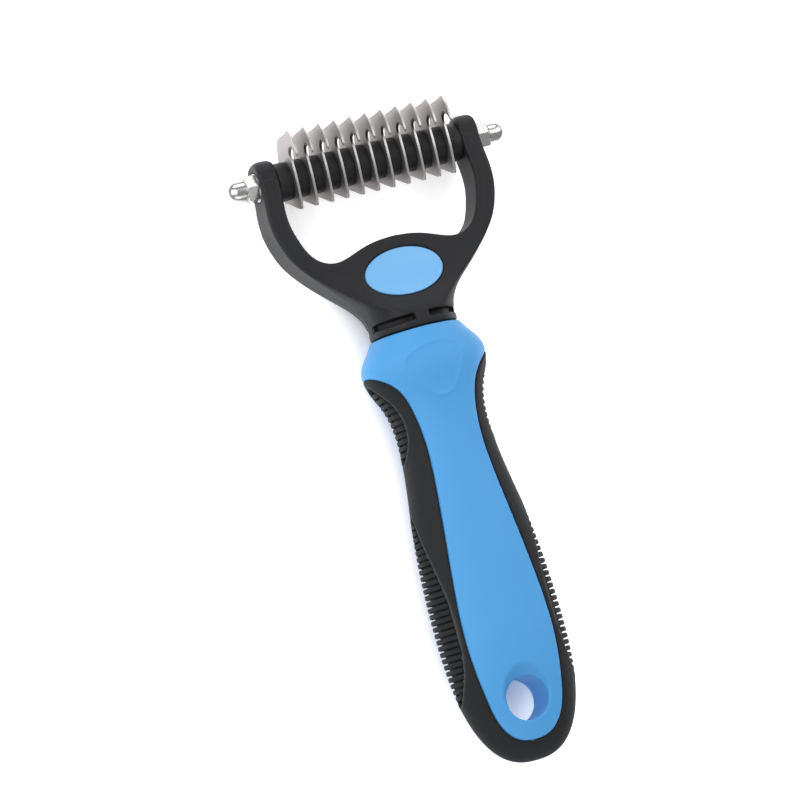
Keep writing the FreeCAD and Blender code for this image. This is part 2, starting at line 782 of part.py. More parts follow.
def panel_prism():
    """The blue region seen from the front, run through the handle: the whole shoulder, then a
    panel that narrows at the waist, widens over the belly and closes round the hole."""
    top = size("panel_top")
    side = size("shoulder_half_width") + 3
    border = [
        (side, top + 0.8, 0),
        (size("shoulder_half_width") - size("panel_shoulder_inset"), top - 4.9, 0),
        (size("panel_throat_half_width"), size("throat_at") + 1.6, 0),
        (size("panel_waist_half_width"), size("waist_at") - 1, 0),
        (size("panel_palm_half_width"), size("palm_at") + 5, 0),
        (size("panel_belly_half_width"), size("belly_at") - 1, 0),
        (size("panel_hole_half_width"), 0, 0),
        (size("panel_foot_half_width"), -size("panel_foot_drop"), 0),
        (0, -size("panel_butt_drop"), 0),
    ]
    ceiling = size("handle_top") + 5
    edges = [spline(border + mirrored(border))]
    edges.append(line(border[0], (side, ceiling, 0)))
    edges.append(line((side, ceiling, 0), (-side, ceiling, 0)))
    edges.append(line((-side, ceiling, 0), (-side, border[0][1], 0)))
    region = Part.Face(Part.Wire(Part.__sortEdges__(edges)))
    region.translate(Vector(0, 0, -CLEAR))
    return region.extrude(Vector(0, 0, 2 * CLEAR))


def rib_gaps(outside):
    """Cutters for the gaps between the grip's ribs. Their flat floors are deepest at the middle
    of each patch and meet the skin at its ends, so each patch is shaped like a leaf."""
    slabs = []
    gap = size("rib_gap")
    for patch in ("upper_patch", "lower_patch"):
        low = size(patch + "_low")
        high = size(patch + "_high")
        count = int((high - low) / size("rib_pitch"))
        pitch = (high - low) / count
        for k in range(count):
            y = low + (k + 0.5) * pitch
            off_middle = (2 * k + 1) / count - 1
            depth = size("rib_depth") * math.sqrt(1 - off_middle**2)
            section = outside.slice(Vector(0, 1, 0), y)[0]
            floor = section.BoundBox.XMax - depth
            for start in (floor, -floor - CLEAR):
                corner = Vector(start, y - gap / 2, -CLEAR)
                slabs.append(Part.makeBox(CLEAR, gap, 2 * CLEAR, corner))
    return Part.makeCompound(slabs)


def hanging_hole():
    """The hole through the butt with a flare at each face."""
    wall = size("hole_wall_half")
    radius = size("hole_dia") / 2
    deep = size("hole_flare_depth")
    wide = radius + size("hole_flare") * deep / (size("belly_half_depth") - wall)
    up = Vector(0, 0, 1)
    shaft = Part.makeCylinder(radius, 2 * CLEAR, Vector(0, 0, -CLEAR), up)
    front = Part.makeCone(radius, wide, deep, Vector(0, 0, wall), up)
    back = Part.makeCone(radius, wide, deep, Vector(0, 0, -wall), -up)
    return shaft.fuse([front, back])


def handle():
    """Core, blue moulding and black grip: they share one outer shape and meet face to face."""
    envelope = handle_envelope()
    outside = shaped("handle_outside", envelope)
    region = shaped("panel_region", panel_prism())
    hole = shaped("hanging_hole", hanging_hole())
    core_len = "skin_top - core_end"
    core_y = "(skin_top + core_end) / 2"
    core_block = block("core_block", "core_width", core_len, "core_depth", "0", core_y, "0")
    wide = "tang_width + 2 * tang_play"
    deep = "tang_depth + 2 * tang_play"
    socket_len = "tang_len + tang_play + 5"
    socket_y = "handle_top + 5 - (tang_len + tang_play + 5) / 2"
    socket = block("tang_socket", wide, socket_len, deep, "0", socket_y, "0")
    core = cut("handle_core", core_block, socket)
    blue = cut("handle_body", common("blue_blank", outside, region), core_block, hole)
    gaps = shaped("rib_gaps", rib_gaps(envelope))
    grip = cut("side_grip", outside, region, core_block, gaps)
    return [core, blue, grip]


# ---------------------------------------------------------------- the whole


def build():
    """Makes every piece and returns the finished ones."""
    fill_sheet()
    pieces = [rod()]
    count = int(size("blade_count"))
    for k in range(count):
        place_x = "(%d - (blade_count - 1) / 2) * blade_pitch" % k
        pieces.append(hook_blade("blade_%02d" % (k + 1), place_x))
    for k in range(count - 1):
        place_x = "(%d - (blade_count - 2) / 2) * blade_pitch" % k
        pieces.append(tube("spacer_%02d" % (k + 1), "spacer_len", place_x))
    for side, sign in (("left", "-1"), ("right", "1")):
        place_x = sign + " * (pack_half + end_spacer_len / 2)"
        pieces.append(tube("end_spacer_" + side, "end_spacer_len", place_x))
        seat = sign + " * (arm_outer - washer_sink / 2 - washer_thick / 2)"
        pieces.append(washer("washer_" + side, seat))
        turn = 0.0 if side == "right" else 180.0
        pieces.append(acorn_nut("acorn_nut_" + side, sign + " * arm_outer", turn))
    fork, inlays = fork_and_inlays()
    pieces.append(fork)
    pieces.extend(inlays)
    pieces.extend(handle())
    return pieces


def write_out(pieces):
    """Checks every object and every finished shape, then writes one file a piece."""
    doc.recompute()
    for thing in doc.Objects:
        if "Invalid" in thing.State or "Error" in thing.State:
            raise RuntimeError("%s did not build: %s" % (thing.Name, thing.State))
    os.makedirs("parts", exist_ok=True)
    for piece in pieces:
        shape = piece.Shape
        if shape.isNull() or not shape.isValid() or not shape.Solids:
            raise RuntimeError("%s is not a sound solid" % piece.Label)
        shape.exportStep("parts/%s.step" % piece.Label)


finished = build()
write_out(finished)
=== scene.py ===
# %% [markdown]
# # A dematting comb, finished for the studio
# The comb is a fork of black plastic that holds eleven hooked blades on a rod, and a soft
# two-colour handle. The engineering model fixes every size and place. This lesson gives each
# piece the skin, edges and finish of the real one, and never moves anything.

# %% Load the fixed frame
import math

import bmesh
import bpy
import numpy as np
from mathutils import Matrix, Vector


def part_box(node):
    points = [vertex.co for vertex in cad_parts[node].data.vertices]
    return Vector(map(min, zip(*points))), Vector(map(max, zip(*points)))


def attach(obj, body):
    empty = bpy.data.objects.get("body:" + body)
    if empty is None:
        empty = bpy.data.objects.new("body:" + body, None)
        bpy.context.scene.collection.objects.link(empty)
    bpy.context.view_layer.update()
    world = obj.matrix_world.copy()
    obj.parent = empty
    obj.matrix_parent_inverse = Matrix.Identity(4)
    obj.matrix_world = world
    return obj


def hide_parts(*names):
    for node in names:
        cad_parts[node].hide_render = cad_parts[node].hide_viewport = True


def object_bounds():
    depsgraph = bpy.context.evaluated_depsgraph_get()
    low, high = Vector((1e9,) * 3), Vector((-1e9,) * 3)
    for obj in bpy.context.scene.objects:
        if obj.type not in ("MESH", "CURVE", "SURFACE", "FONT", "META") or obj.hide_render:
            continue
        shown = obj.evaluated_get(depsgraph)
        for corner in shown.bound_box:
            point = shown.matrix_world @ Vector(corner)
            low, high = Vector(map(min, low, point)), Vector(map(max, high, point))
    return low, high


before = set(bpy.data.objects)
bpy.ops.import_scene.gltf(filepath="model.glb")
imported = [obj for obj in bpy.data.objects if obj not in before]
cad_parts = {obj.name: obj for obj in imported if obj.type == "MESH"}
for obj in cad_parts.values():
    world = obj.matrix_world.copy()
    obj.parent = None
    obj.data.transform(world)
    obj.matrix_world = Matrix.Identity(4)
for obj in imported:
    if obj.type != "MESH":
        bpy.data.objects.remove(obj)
cad_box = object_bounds()

# %% [markdown]
# Shapes are easiest to think about in millimetres, so everything below is worked out in
# millimetres and turned into metres only where a mesh is made. The places that several pieces
# share are read from the frame's own boxes.

# %% Shared sizes, in millimetres
MM = 0.001


def box_mm(node):
    low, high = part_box(node)
    return np.array(low) / MM, np.array(high) / MM


ROD_Y = float(sum(box_mm("rod"))[1] / 2)
ARM_OUTER = float(box_mm("acorn_nut_right")[0][0])
ARM_INNER = float(box_mm("end_spacer_right")[1][0]) + 0.05
HANDLE_TOP = float(box_mm("handle_body")[1][1])
FORK_FOOT = HANDLE_TOP + 0.35
BUTT = float(box_mm("side_grip")[0][1])
ARM_TOP = float(box_mm("fork")[1][1])
PLATE_HALF = 6.5
print("rod at", round(ROD_Y, 1), "handle from", round(BUTT, 1), "to", round(HANDLE_TOP, 1))

# %% [markdown]
# ## The studio
# The comb lies on its back on a pale table and the camera looks down on it, a little from its
# left. A long lens keeps the two arms nearly the same size. Flat faces look straight up, so
# the space above them is left dark and the light comes in from large panels at the sides:
# black plastic then stays black and still shows a soft gleam on its edges.

# %% A helper that adds an object


def linked(name, data):
    """A new object in the scene that shows this data."""
    thing = bpy.data.objects.new(name, data)
    bpy.context.scene.collection.objects.link(thing)
    return thing


# %% Camera
YAW, PITCH, ROLL = math.radians(18.842), math.radians(-5.244), math.radians(15.97)
AIM = Vector((-10.872, 75.31, -1381.71)) * MM
turn = Matrix.Rotation(ROLL, 3, "Z") @ Matrix.Rotation(PITCH, 3, "X")
turn = turn @ Matrix.Rotation(YAW, 3, "Y")
camera_data = bpy.data.cameras.new("camera")
camera_data.lens = 195.9
camera_data.sensor_width = 36.0
camera_data.clip_start = 0.05
camera_data.clip_end = 20.0
camera = linked("camera", camera_data)
spot = turn.transposed() @ -AIM + Vector((0, ROD_Y * MM, 0))
camera.matrix_world = Matrix.Translation(spot) @ turn.transposed().to_4x4()
bpy.context.scene.camera = camera

# %% Light panels, room and table
CENTRE = Vector((0.0, 0.085, 0.0))


def light_panel(name, place, width, height, watts):
    """A soft box at `place`, counted from the comb's middle, that faces the comb."""
    data = bpy.data.lights.new(name, "AREA")
    data.shape = "RECTANGLE"
    data.size = width
    data.size_y = height
    data.energy = watts
    panel = linked(name, data)
    panel.location = CENTRE + Vector(place)
    panel.rotation_euler = (-Vector(place)).to_track_quat("-Z", "Y").to_euler()


light_panel("left_box", (-0.46, 0.14, 0.62), 0.55, 0.8, 3.5)
light_panel("right_box", (0.50, 0.25, 0.52), 0.35, 0.7, 1.75)
light_panel("head_box", (0.05, 0.75, 0.42), 0.8, 0.3, 2.2)
light_panel("foot_box", (-0.15, -0.72, 0.50), 0.8, 0.3, 1.7)

world = bpy.data.worlds.new("room")
world.use_nodes = True
background = world.node_tree.nodes["Background"]
background.inputs["Color"].default_value = (0.95, 0.97, 1.0, 1)
background.inputs["Strength"].default_value = 0.32
bpy.context.scene.world = world
bpy.context.scene.view_settings.view_transform = "Standard"

TABLE_GAP = 0.2 * MM
bpy.ops.mesh.primitive_plane_add(size=6.0, location=(0, 0.08, cad_box[0].z - TABLE_GAP))
table = bpy.context.object
table.name = "table"

# %% [markdown]
# ## Writing finishes as sums
# A finish is a formula: a base colour plus a little noise, a groove where a mask says so. One
# small class wraps a socket and lets Python's own operators add the maths nodes, so a finish
# reads like the formula that it is.


# %% A socket that does sums
class Value:
    """A number that varies over a surface, wrapped so that + - * / add nodes."""

    def __init__(self, finish, socket):
        self.finish = finish
        self.socket = socket

    def step(self, operation, other=None):
        values = {0: self}
        if other is not None:
            values[1] = other
        return self.finish.node("ShaderNodeMath", {"operation": operation}, values)

    def __add__(self, other):
        return self.step("ADD", other)

    def __sub__(self, other):
        return self.step("SUBTRACT", other)

    def __mul__(self, other):
        return self.step("MULTIPLY", other)

    def __truediv__(self, other):
        return self.step("DIVIDE", other)

    def __rsub__(self, other):
        return self.step("MULTIPLY", -1.0) + other

    __radd__ = __add__
    __rmul__ = __mul__

    def size(self):
        return self.step("ABSOLUTE")

    def ramp(self, low, high):
        """0 below low, 1 above high and smooth between."""
        settings = {"interpolation_type": "SMOOTHSTEP"}
        values = {"Value": self, "From Min": low, "From Max": high}
        return self.finish.node("ShaderNodeMapRange", settings, values)


class Finish:
    """A material's node tree with one method that adds any node."""

    def __init__(self, name):
        self.material = bpy.data.materials.new(name)
        self.material.use_nodes = True
        self.tree = self.material.node_tree
        self.shader = self.tree.nodes["Principled BSDF"]

    def node(self, kind, settings, values, output=0):
        node = self.tree.nodes.new(kind)
        for name, setting in settings.items():
            setattr(node, name, setting)
        for name, value in values.items():
            self.put(node.inputs[name], value)
        return Value(self, node.outputs[output])

    def put(self, socket, value):
        if isinstance(value, Value):
            self.tree.links.new(value.socket, socket)
        else:
            socket.default_value = value

    def set(self, **values):
        """Sets the shader's own sockets; an underscore stands for a space."""
        for name, value in values.items():
            self.put(self.shader.inputs[name.replace("_", " ")], value)

    def place(self):
        return self.node("ShaderNodeTexCoord", {}, {}, "Object")

    def axes(self):
        """The three object coordinates, in millimetres."""
        split = self.node("ShaderNodeSeparateXYZ", {}, {0: self.place()})
        parts = [Value(self, output) for output in split.socket.node.outputs]
        return [part * 1000.0 for part in parts]

    def stretched(self, x, y, z):
        return self.node("ShaderNodeMapping", {}, {"Vector": self.place(), "Scale": (x, y, z)})

    def noise(self, scale, detail=2.0, rough=0.5, vector=None):
        """Smooth noise between 0 and 1; scale is in features a metre."""
        values = {"Scale": scale, "Detail": detail, "Roughness": rough}
        values["Vector"] = vector if vector else self.place()
        return self.node("ShaderNodeTexNoise", {}, values)

    def blend(self, share, first, second):
        """A colour mix: `first` where share is 0 and `second` where it is 1."""
        values = {0: share, 6: (*first, 1) if isinstance(first, tuple) else first}
        values[7] = (*second, 1) if isinstance(second, tuple) else second
        return self.node("ShaderNodeMix", {"data_type": "RGBA"}, values, 2)

    def relief(self, height, depth):
        """Bumps the surface by a height between 0 and 1 times a depth in metres."""
        bump = self.node("ShaderNodeBump", {}, {"Height": height, "Distance": depth})
        self.set(Normal=bump)


# %% [markdown]
# ### Table
# The table only has to be pale and quiet, with the faintest tooth so that it isn't a perfect
# mathematical plane. It glows, a painted light that washes out every shadow round the comb,
# and where the handle stands close over it the glow gives way to a painted shadow.

# %% Table finish
paper = Finish("pale_table")
paper_tooth = paper.noise(900.0, 3.0)
paper.set(Base_Color=paper.blend(paper_tooth, (0.93, 0.93, 0.94), (0.96, 0.96, 0.97)))
# Painted light and painted shadow: the table's glow dims to near black where the handle is close
# above.
open_sky = paper.node("ShaderNodeAmbientOcclusion", {"samples": 8}, {"Distance": 0.022}, 1)
painted_glow_and_shadow = paper.blend(open_sky.ramp(0.25, 0.7), (0.06, 0.05, 0.05), (1.0, 1.0, 1.0))
paper.set(Emission_Color=painted_glow_and_shadow, Emission_Strength=0.80)
paper.set(Roughness=0.85, Specular_IOR_Level=0.1)
table.data.materials.append(paper.material)

# %% [markdown]
# ### Moulded plastic and soft rubber
# A moulded part copies its tool's spark-eroded skin: a fine even grain that scatters light.
# Slow variation in the gloss shows where the melt cooled at different rates. The soft blue
# over-moulding has a broader, peach-like sheen than the hard black fork. Rubber is duller
# again, with pale lint in scattered patches and a painted highlight on the raised rims
# round its sunk patches.

# %% Plastic and rubber finishes


def moulded(name, colour, rough, grain, depth, gloss=0.5, haze=0.08):
    """Grained plastic: grain is features a metre, depth is the grain's height in metres."""
    finish = Finish(name)
    slow = finish.noise(28.0, 3.0, 0.6)
    fine = finish.noise(grain, 2.0, 0.55)
    pale = tuple(min(1.0, part * (1 + haze) + 0.004) for part in colour)
    dark = tuple(part * (1 - haze) for part in colour)
    finish.set(Base_Color=finish.blend(slow * 0.7 + fine * 0.3, dark, pale))
    finish.set(Roughness=(slow - 0.5) * 0.10 + (fine - 0.5) * 0.08 + rough)
    finish.set(Specular_IOR_Level=gloss)
    finish.relief(fine, depth)
    return finish


BLUE, PALE_BLUE = (0.070, 0.335, 0.70), (0.165, 0.440, 0.778)
soft_blue = moulded("soft_blue_moulding", BLUE, 0.50, 2600.0, 0.00002, 0.32, 0.035)
soft_blue.set(Sheen_Weight=0.05, Sheen_Roughness=0.6)
badge_blue = moulded("smooth_blue_badge", PALE_BLUE, 0.34, 1500.0, 0.00001, 0.45, 0.02)
spacer_black = moulded("satin_black_spacer", (0.009, 0.009, 0.010), 0.50, 1700.0, 0.00004, 0.30)
core_white = moulded("natural_core_plastic", (0.62, 0.61, 0.58), 0.5, 1200.0, 0.00003)

# %% The fork's black plastic, with the line where the mould halves meet


def fork_finish():
    finish = moulded("black_fork_plastic", (0.011, 0.0112, 0.013), 0.50, 2100.0, 0.00003, 0.27)
    z = finish.axes()[2]
    seam = 1 - (z.size() - 0.06).ramp(0.0, 0.12)
    grain = finish.noise(2100.0, 2.0, 0.55)
    finish.relief(grain * 0.4 + seam * 2.2, 0.00003)
    return finish


fork_black = fork_finish()


# %% The grip's rubber


def rubber_finish():
    finish = Finish("soft_black_rubber")
    slow = finish.noise(45.0, 4.0, 0.6)
    fine = finish.noise(3200.0, 2.0, 0.6)
    lint = finish.noise(700.0, 5.0, 0.7).ramp(0.62, 0.8) * slow.ramp(0.45, 0.75)
    worn = finish.blend(slow, (0.0080, 0.0088, 0.0105), (0.0125, 0.0135, 0.0155))
    # Painted highlight: the attribute rim paints the raised rims round the sunk patches pale,
    # standing in for the light they catch.
    rim = finish.node("ShaderNodeAttribute", {"attribute_name": "rim"}, {}, "Fac")
    finish.set(Base_Color=finish.blend(lint * 0.12 + rim * 0.32, worn, (0.16, 0.16, 0.16)))
    finish.set(Roughness=0.56 + slow * 0.12 + fine * 0.06)
    finish.set(Specular_IOR_Level=0.28)
    finish.relief(fine, 0.00004)
    return finish


grip_black = rubber_finish()

# %% [markdown]
# ### Metals
# The blades are stamped from stainless sheet and ground. Grinding leaves hair lines in one
# direction, drawn here as noise stretched along the stroke. The ground edges are smoother than
# the flats, and their colour is also painted pale as a painted highlight along every edge, so the
# mesh carries an attribute, `ground`, that is 1 on a bevel and 0 elsewhere.
# The nuts are nickel plated: smooth, bright and a little warm, with faint waviness.

# %% Metal finishes
THREAD_PITCH = 0.8


def blade_finish():
    finish = Finish("ground_stainless")
    lines = finish.noise(1.0, 4.0, 0.7, finish.stretched(900.0, 260.0, 5200.0))
    slow = finish.noise(120.0, 3.0, 0.6)
    ground = finish.node("ShaderNodeAttribute", {"attribute_name": "ground"}, {}, "Fac")
    tone = finish.node("ShaderNodeAttribute", {"attribute_name": "tone"}, {}, "Fac")
    flat = finish.blend(slow * 0.6 + tone * 0.5, (0.31, 0.288, 0.285), (0.45, 0.42, 0.415))
    # Painted shade: the wide bevel inside the hook is painted near black, standing in for the shade
    # in the hook's throat.
    throat = finish.node("ShaderNodeAttribute", {"attribute_name": "throat"}, {}, "Fac")
    # Partly real, partly painted highlight: the ground bevels are smoother, and their colour is
    # also painted pale.
    bright = finish.blend(ground, flat, (0.62, 0.60, 0.585))
    finish.set(Base_Color=finish.blend(throat, bright, (0.10, 0.088, 0.082)))
    finish.set(Metallic=1.0)
    finish.set(Roughness=0.50 + (lines - 0.5) * 0.20 - ground * 0.16)
    finish.relief(lines, 0.000012)
    return finish


def plated_finish(name, pale, dark, rough, thread_from=None):
    """Bright plating; with thread_from, the ridges of a thread beyond that distance."""
    finish = Finish(name)
    slow = finish.noise(160.0, 3.0, 0.6)
    fine = finish.noise(2400.0, 3.0, 0.6)
    finish.set(Base_Color=finish.blend(slow * 0.7 + fine * 0.3, dark, pale))
    finish.set(Metallic=1.0, Roughness=rough + (slow - 0.5) * 0.07 + (fine - 0.5) * 0.05)
    finish.relief(fine, 0.000006)
    if thread_from is not None:
        x = finish.axes()[0]
        wave = (x * (2 * math.pi / THREAD_PITCH)).step("SINE")
        finish.relief(wave * x.size().ramp(thread_from, thread_from + 0.4), 0.0003)
    return finish


blade_steel = blade_finish()
nickel = plated_finish("bright_nickel", (0.70, 0.69, 0.67), (0.56, 0.55, 0.535), 0.24)
zinc = plated_finish("dull_zinc", (0.66, 0.67, 0.68), (0.50, 0.51, 0.53), 0.30)
grey, dark_grey = (0.60, 0.60, 0.60), (0.46, 0.46, 0.46)
rod_steel = plated_finish("threaded_rod", grey, dark_grey, 0.28, ARM_OUTER - 2.0)

# %% [markdown]
# ## Curves and distances
# Moulded shapes are described by how far a point is from their surface: negative inside,
# positive outside. Such distances can be joined, cut and rounded with simple sums, which gives
# the soft blended edges of a moulding. First come smooth curves through a few known points.


# %% Smooth curves through points


def spline_slopes(t, values, start=None):
    """The slopes of a cubic spline at its knots; natural ends, or a known slope at the start."""
    count = len(t)
    gaps = np.diff(t)
    rise = np.diff(values, axis=0) / gaps[:, None]
    system = np.zeros((count, count))
    right = np.zeros((count, values.shape[1]))
    for k in range(1, count - 1):
        system[k, k - 1 : k + 2] = gaps[k], 2 * (gaps[k] + gaps[k - 1]), gaps[k - 1]
        right[k] = 3 * (gaps[k] * rise[k - 1] + gaps[k - 1] * rise[k])
    system[0, :2] = (2, 1) if start is None else (1, 0)
    right[0] = 3 * rise[0] if start is None else start
    system[-1, -2:] = 1, 2
    right[-1] = 3 * rise[-1]
    return np.linalg.solve(system, right)


def spline_at(t, values, slopes, where):
    """The spline's values at the places asked for."""
    where = np.clip(where, t[0], t[-1])
    k = np.clip(np.searchsorted(t, where, side="right") - 1, 0, len(t) - 2)
    gap = (t[k + 1] - t[k])[:, None]
    u = (where - t[k])[:, None] / gap
    start = (1 + 2 * u) * (1 - u) ** 2 * values[k] + u * (1 - u) ** 2 * gap * slopes[k]
    end = u**2 * (3 - 2 * u) * values[k + 1] + u**2 * (u - 1) * gap * slopes[k + 1]
    return start + end


def curve_through(points, count):
    """A smooth path through the points, as `count` points along it."""
    points = np.array(points, float)
    t = np.concatenate([[0], np.cumsum(np.linalg.norm(np.diff(points, axis=0), axis=1))])
    slopes = spline_slopes(t, points)
    return spline_at(t, points, slopes, np.linspace(0, t[-1], count))


def mirrored(path):
    """The path, carried on by its mirror image from its last point back."""
    return np.concatenate([path, path[::-1] * (-1, 1)])


def corner(x, y, radius, start, count=8):
    """A quarter circle round (x, y) from the start angle, anticlockwise, in degrees."""
    angles = np.radians(np.linspace(start, start + 90, count))
    return np.stack([x + radius * np.cos(angles), y + radius * np.sin(angles)], axis=1)


# %% Distances that can be joined and rounded


def outline_distance(path, across, up):
    """Signed distance from every (across, up) pair to a closed outline; negative inside."""
    points = np.stack(np.broadcast_arrays(across, up), axis=-1).astype(np.float32)
    best = np.full(points.shape[:-1], 1e9, np.float32)
    inside = np.zeros(points.shape[:-1], bool)
    closed = np.concatenate([path, path[:1]]).astype(np.float32)
    for first, second in zip(closed, closed[1:]):
        edge = second - first
        length = float(edge @ edge)
        if length < 1e-12:
            continue
        off = points - first
        share = np.clip((off @ edge) / length, 0, 1)
        gap = off - share[..., None] * edge
        best = np.minimum(best, gap[..., 0] ** 2 + gap[..., 1] ** 2)
        crosses = (first[1] > points[..., 1]) != (second[1] > points[..., 1])
        if edge[1] != 0:
            inside ^= crosses & (points[..., 0] < first[0] + off[..., 1] * edge[0] / edge[1])
    return np.where(inside, -1.0, 1.0) * np.sqrt(best)


def both(first, second, radius):
    """What is inside both shapes, with the edge between them rounded."""
    over_first = np.maximum(first + radius, 0)
    over_second = np.maximum(second + radius, 0)
    return np.minimum(np.maximum(first, second), -radius) + np.hypot(over_first, over_second)


def either(first, second, radius):
    """What is inside either shape, with a fillet of this radius where they meet."""
    return -both(-first, -second, radius)


def evened(field, step):
    """The field divided by its own slope, so that it measures distance near its surface."""
    slopes = np.gradient(field, step)
    return field / np.maximum(np.sqrt(sum(slope**2 for slope in slopes)), 0.02)


# %% [markdown]
# ### From distances to a skin
# The skin is found on a grid of small cells. Every cell that the surface passes through gets
# one point, at the average of where the surface crosses the cell's edges, and every crossed
# edge gets one four-sided face. The points are then slid along the field's slope until they
# sit exactly on the surface, which removes the steps of the grid.


# %% The skin of a distance field


class Grid:
    """A box of small cells, in millimetres."""

    def __init__(self, low, high, step):
        self.step = step
        self.low = np.array(low, float)
        counts = np.ceil((np.array(high) - self.low) / step).astype(int) + 1
        lines = [self.low[k] + step * np.arange(counts[k]) for k in range(3)]
        self.x = lines[0][:, None, None]
        self.y = lines[1][None, :, None]
        self.z = lines[2][None, None, :]
        self.counts = counts


def crossings(field, cells):
    """For each edge that the surface crosses: its axis, its cell, the crossing and its sense."""
    for axis in range(3):
        near = np.moveaxis(np.moveaxis(field, axis, 0)[:-1], 0, axis)
        far = np.moveaxis(np.moveaxis(field, axis, 0)[1:], 0, axis)
        index = np.argwhere((near < 0) != (far < 0))
        side = [k for k in range(3) if k != axis]
        whole = np.all((index[:, side] > 0) & (index[:, side] < cells[side]), axis=1)
        index = index[whole]
        start = near[tuple(index.T)]
        share = start / (start - far[tuple(index.T)])
        point = index.astype(float)
        point[:, axis] += share
        yield axis, index, point, start < 0


def skin_of(field, grid):
    """Points and four-sided faces of the field's zero surface."""
    cells = grid.counts - 1
    stride = np.array([cells[1] * cells[2], cells[2], 1])
    total = int(np.prod(cells))
    count = np.zeros(total)
    place = np.zeros((total, 3))
    corners = []
    for axis, index, point, outward in crossings(field, cells):
        u, v = (axis + 1) % 3, (axis + 2) % 3
        flat = index @ stride
        ring = [flat, flat - stride[u], flat - stride[u] - stride[v], flat - stride[v]]
        for cell in ring:
            count += np.bincount(cell, minlength=total)
            for k in range(3):
                place[:, k] += np.bincount(cell, weights=point[:, k], minlength=total)
        faces = np.stack(ring, axis=1)
        faces[~outward] = faces[~outward][:, ::-1]
        corners.append(faces)
    used = np.flatnonzero(count)
    number = np.full(total, -1)
    number[used] = np.arange(len(used))
    points = place[used] / count[used][:, None]
    for _ in range(3):
        points = settle(field, points)
    return points * grid.step + grid.low, number[np.concatenate(corners)]


def settle(field, points):
    """Slides points, in cell units, most of the way to the surface."""
    top = np.array(field.shape) - 2
    base = np.clip(np.floor(points).astype(int), 0, top)
    part = points - base
    value = np.zeros(len(points))
    slope = np.zeros((len(points), 3))
    for k in range(8):
        bits = np.array([k & 1, (k >> 1) & 1, (k >> 2) & 1])
        weight = np.where(bits, part, 1 - part)
        sample = field[tuple((base + bits).T)]
        value += sample * weight.prod(axis=1)
        for axis in range(3):
            others = [n for n in range(3) if n != axis]
            sign = 1.0 if bits[axis] else -1.0
            slope[:, axis] += sign * sample * weight[:, others].prod(axis=1)
    size = np.maximum((slope**2).sum(axis=1), 1e-4)
    shift = -slope * (value / size)[:, None]
    limit = np.maximum(np.abs(shift).max(axis=1), 1e-9)
    return points + shift * np.minimum(1, 0.5 / limit)[:, None] * 0.9


# %% From points to a piece of the comb


def new_piece(name, points, faces, finish, slot, body, *nodes):
    """A smooth mesh in metres that rides on a body and stands for the named nodes."""
    mesh = bpy.data.meshes.new(name)
    mesh.from_pydata((np.asarray(points) * MM).tolist(), [], np.asarray(faces).tolist())
    mesh.update()
    mesh.shade_smooth()
    return dressed(linked(name, mesh), finish, slot, body, *nodes)


def dressed(piece, finish, slot, body, *nodes):
    """Gives a piece its finish and its body."""
    piece.data.materials.clear()
    piece.data.materials.append(finish.material)
    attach(piece, body)
    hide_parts(*nodes)
    piece.data.calc_loop_triangles()
    print(piece.name, len(piece.data.loop_triangles), "triangles")
    return piece


# %% [markdown]
# ## The handle's outer shape
# The hand sees one smooth shape: a shoulder that stops the thumb, a waist, a palm swell and a
# rounded butt. Across the handle it is an ellipse everywhere, so two curves along its length,
# half the width and half the depth, say everything. The shoulder swells on a cosine and the
# butt closes on a rounder-than-elliptical curve.

# %% Handle stations: distance above the hole, half width, half depth
WIDE_ROUND, DEEP_ROUND = 2.5, 1.8  # 2 is an ellipse and more is fuller
BELLY = (0.198 * FORK_FOOT, 21.1, 11.5)
SHOULDER = (0.913 * FORK_FOOT, 20.7, 14.3)
TOP = (HANDLE_TOP, 14.9, 13.1)


def shoulder_stations():
    stations = []
    for share in (0.26, 0.52, 0.78, 1.0):
        swell = max(math.cos(share * math.pi / 2), 0) ** 1.3
        y = SHOULDER[0] + share * (TOP[0] - SHOULDER[0])
        width, depth = (TOP[k] + (SHOULDER[k] - TOP[k]) * swell for k in (1, 2))
        stations.append((y, width, depth))
    return stations


stations = [BELLY, (0.496 * FORK_FOOT, 18.7, 11.1), (0.727 * FORK_FOOT, 15.4, 11.1)]
stations += [(0.826 * FORK_FOOT, 17.3, 12.6), SHOULDER] + shoulder_stations()
stations = np.array(stations)
station_slopes = spline_slopes(stations[:, 0], stations[:, 1:], start=(0, 0))


def handle_halves(y):
    """Half width and half depth of the handle at each y."""
    y = np.asarray(y, float)
    upper = spline_at(stations[:, 0], stations[:, 1:], station_slopes, y)
    share = np.clip((BELLY[0] - y) / (BELLY[0] - BUTT), 0, 0.9999)
    wide = (1 - share**WIDE_ROUND) ** (1 / WIDE_ROUND)
    deep = (1 - share**DEEP_ROUND) ** (1 / DEEP_ROUND)
    width = np.where(y < BELLY[0], BELLY[1] * wide, upper[:, 0])
    return width, np.where(y < BELLY[0], BELLY[2] * deep, upper[:, 1])


# %% [markdown]
# ## Blue body and black grip
# The soft blue body wraps the whole shoulder, then runs down the front and the back as a panel
# that narrows at the waist and closes round the hanging hole. The black grip fills the sides.
# A hair of space and a small rounding on both pieces draw the dark line that separates them.
# The thumb sits in a faint ring, a soft-cornered triangle that stands a third of a millimetre
# proud, and the hole opens into a shallow dish, wider towards the head.

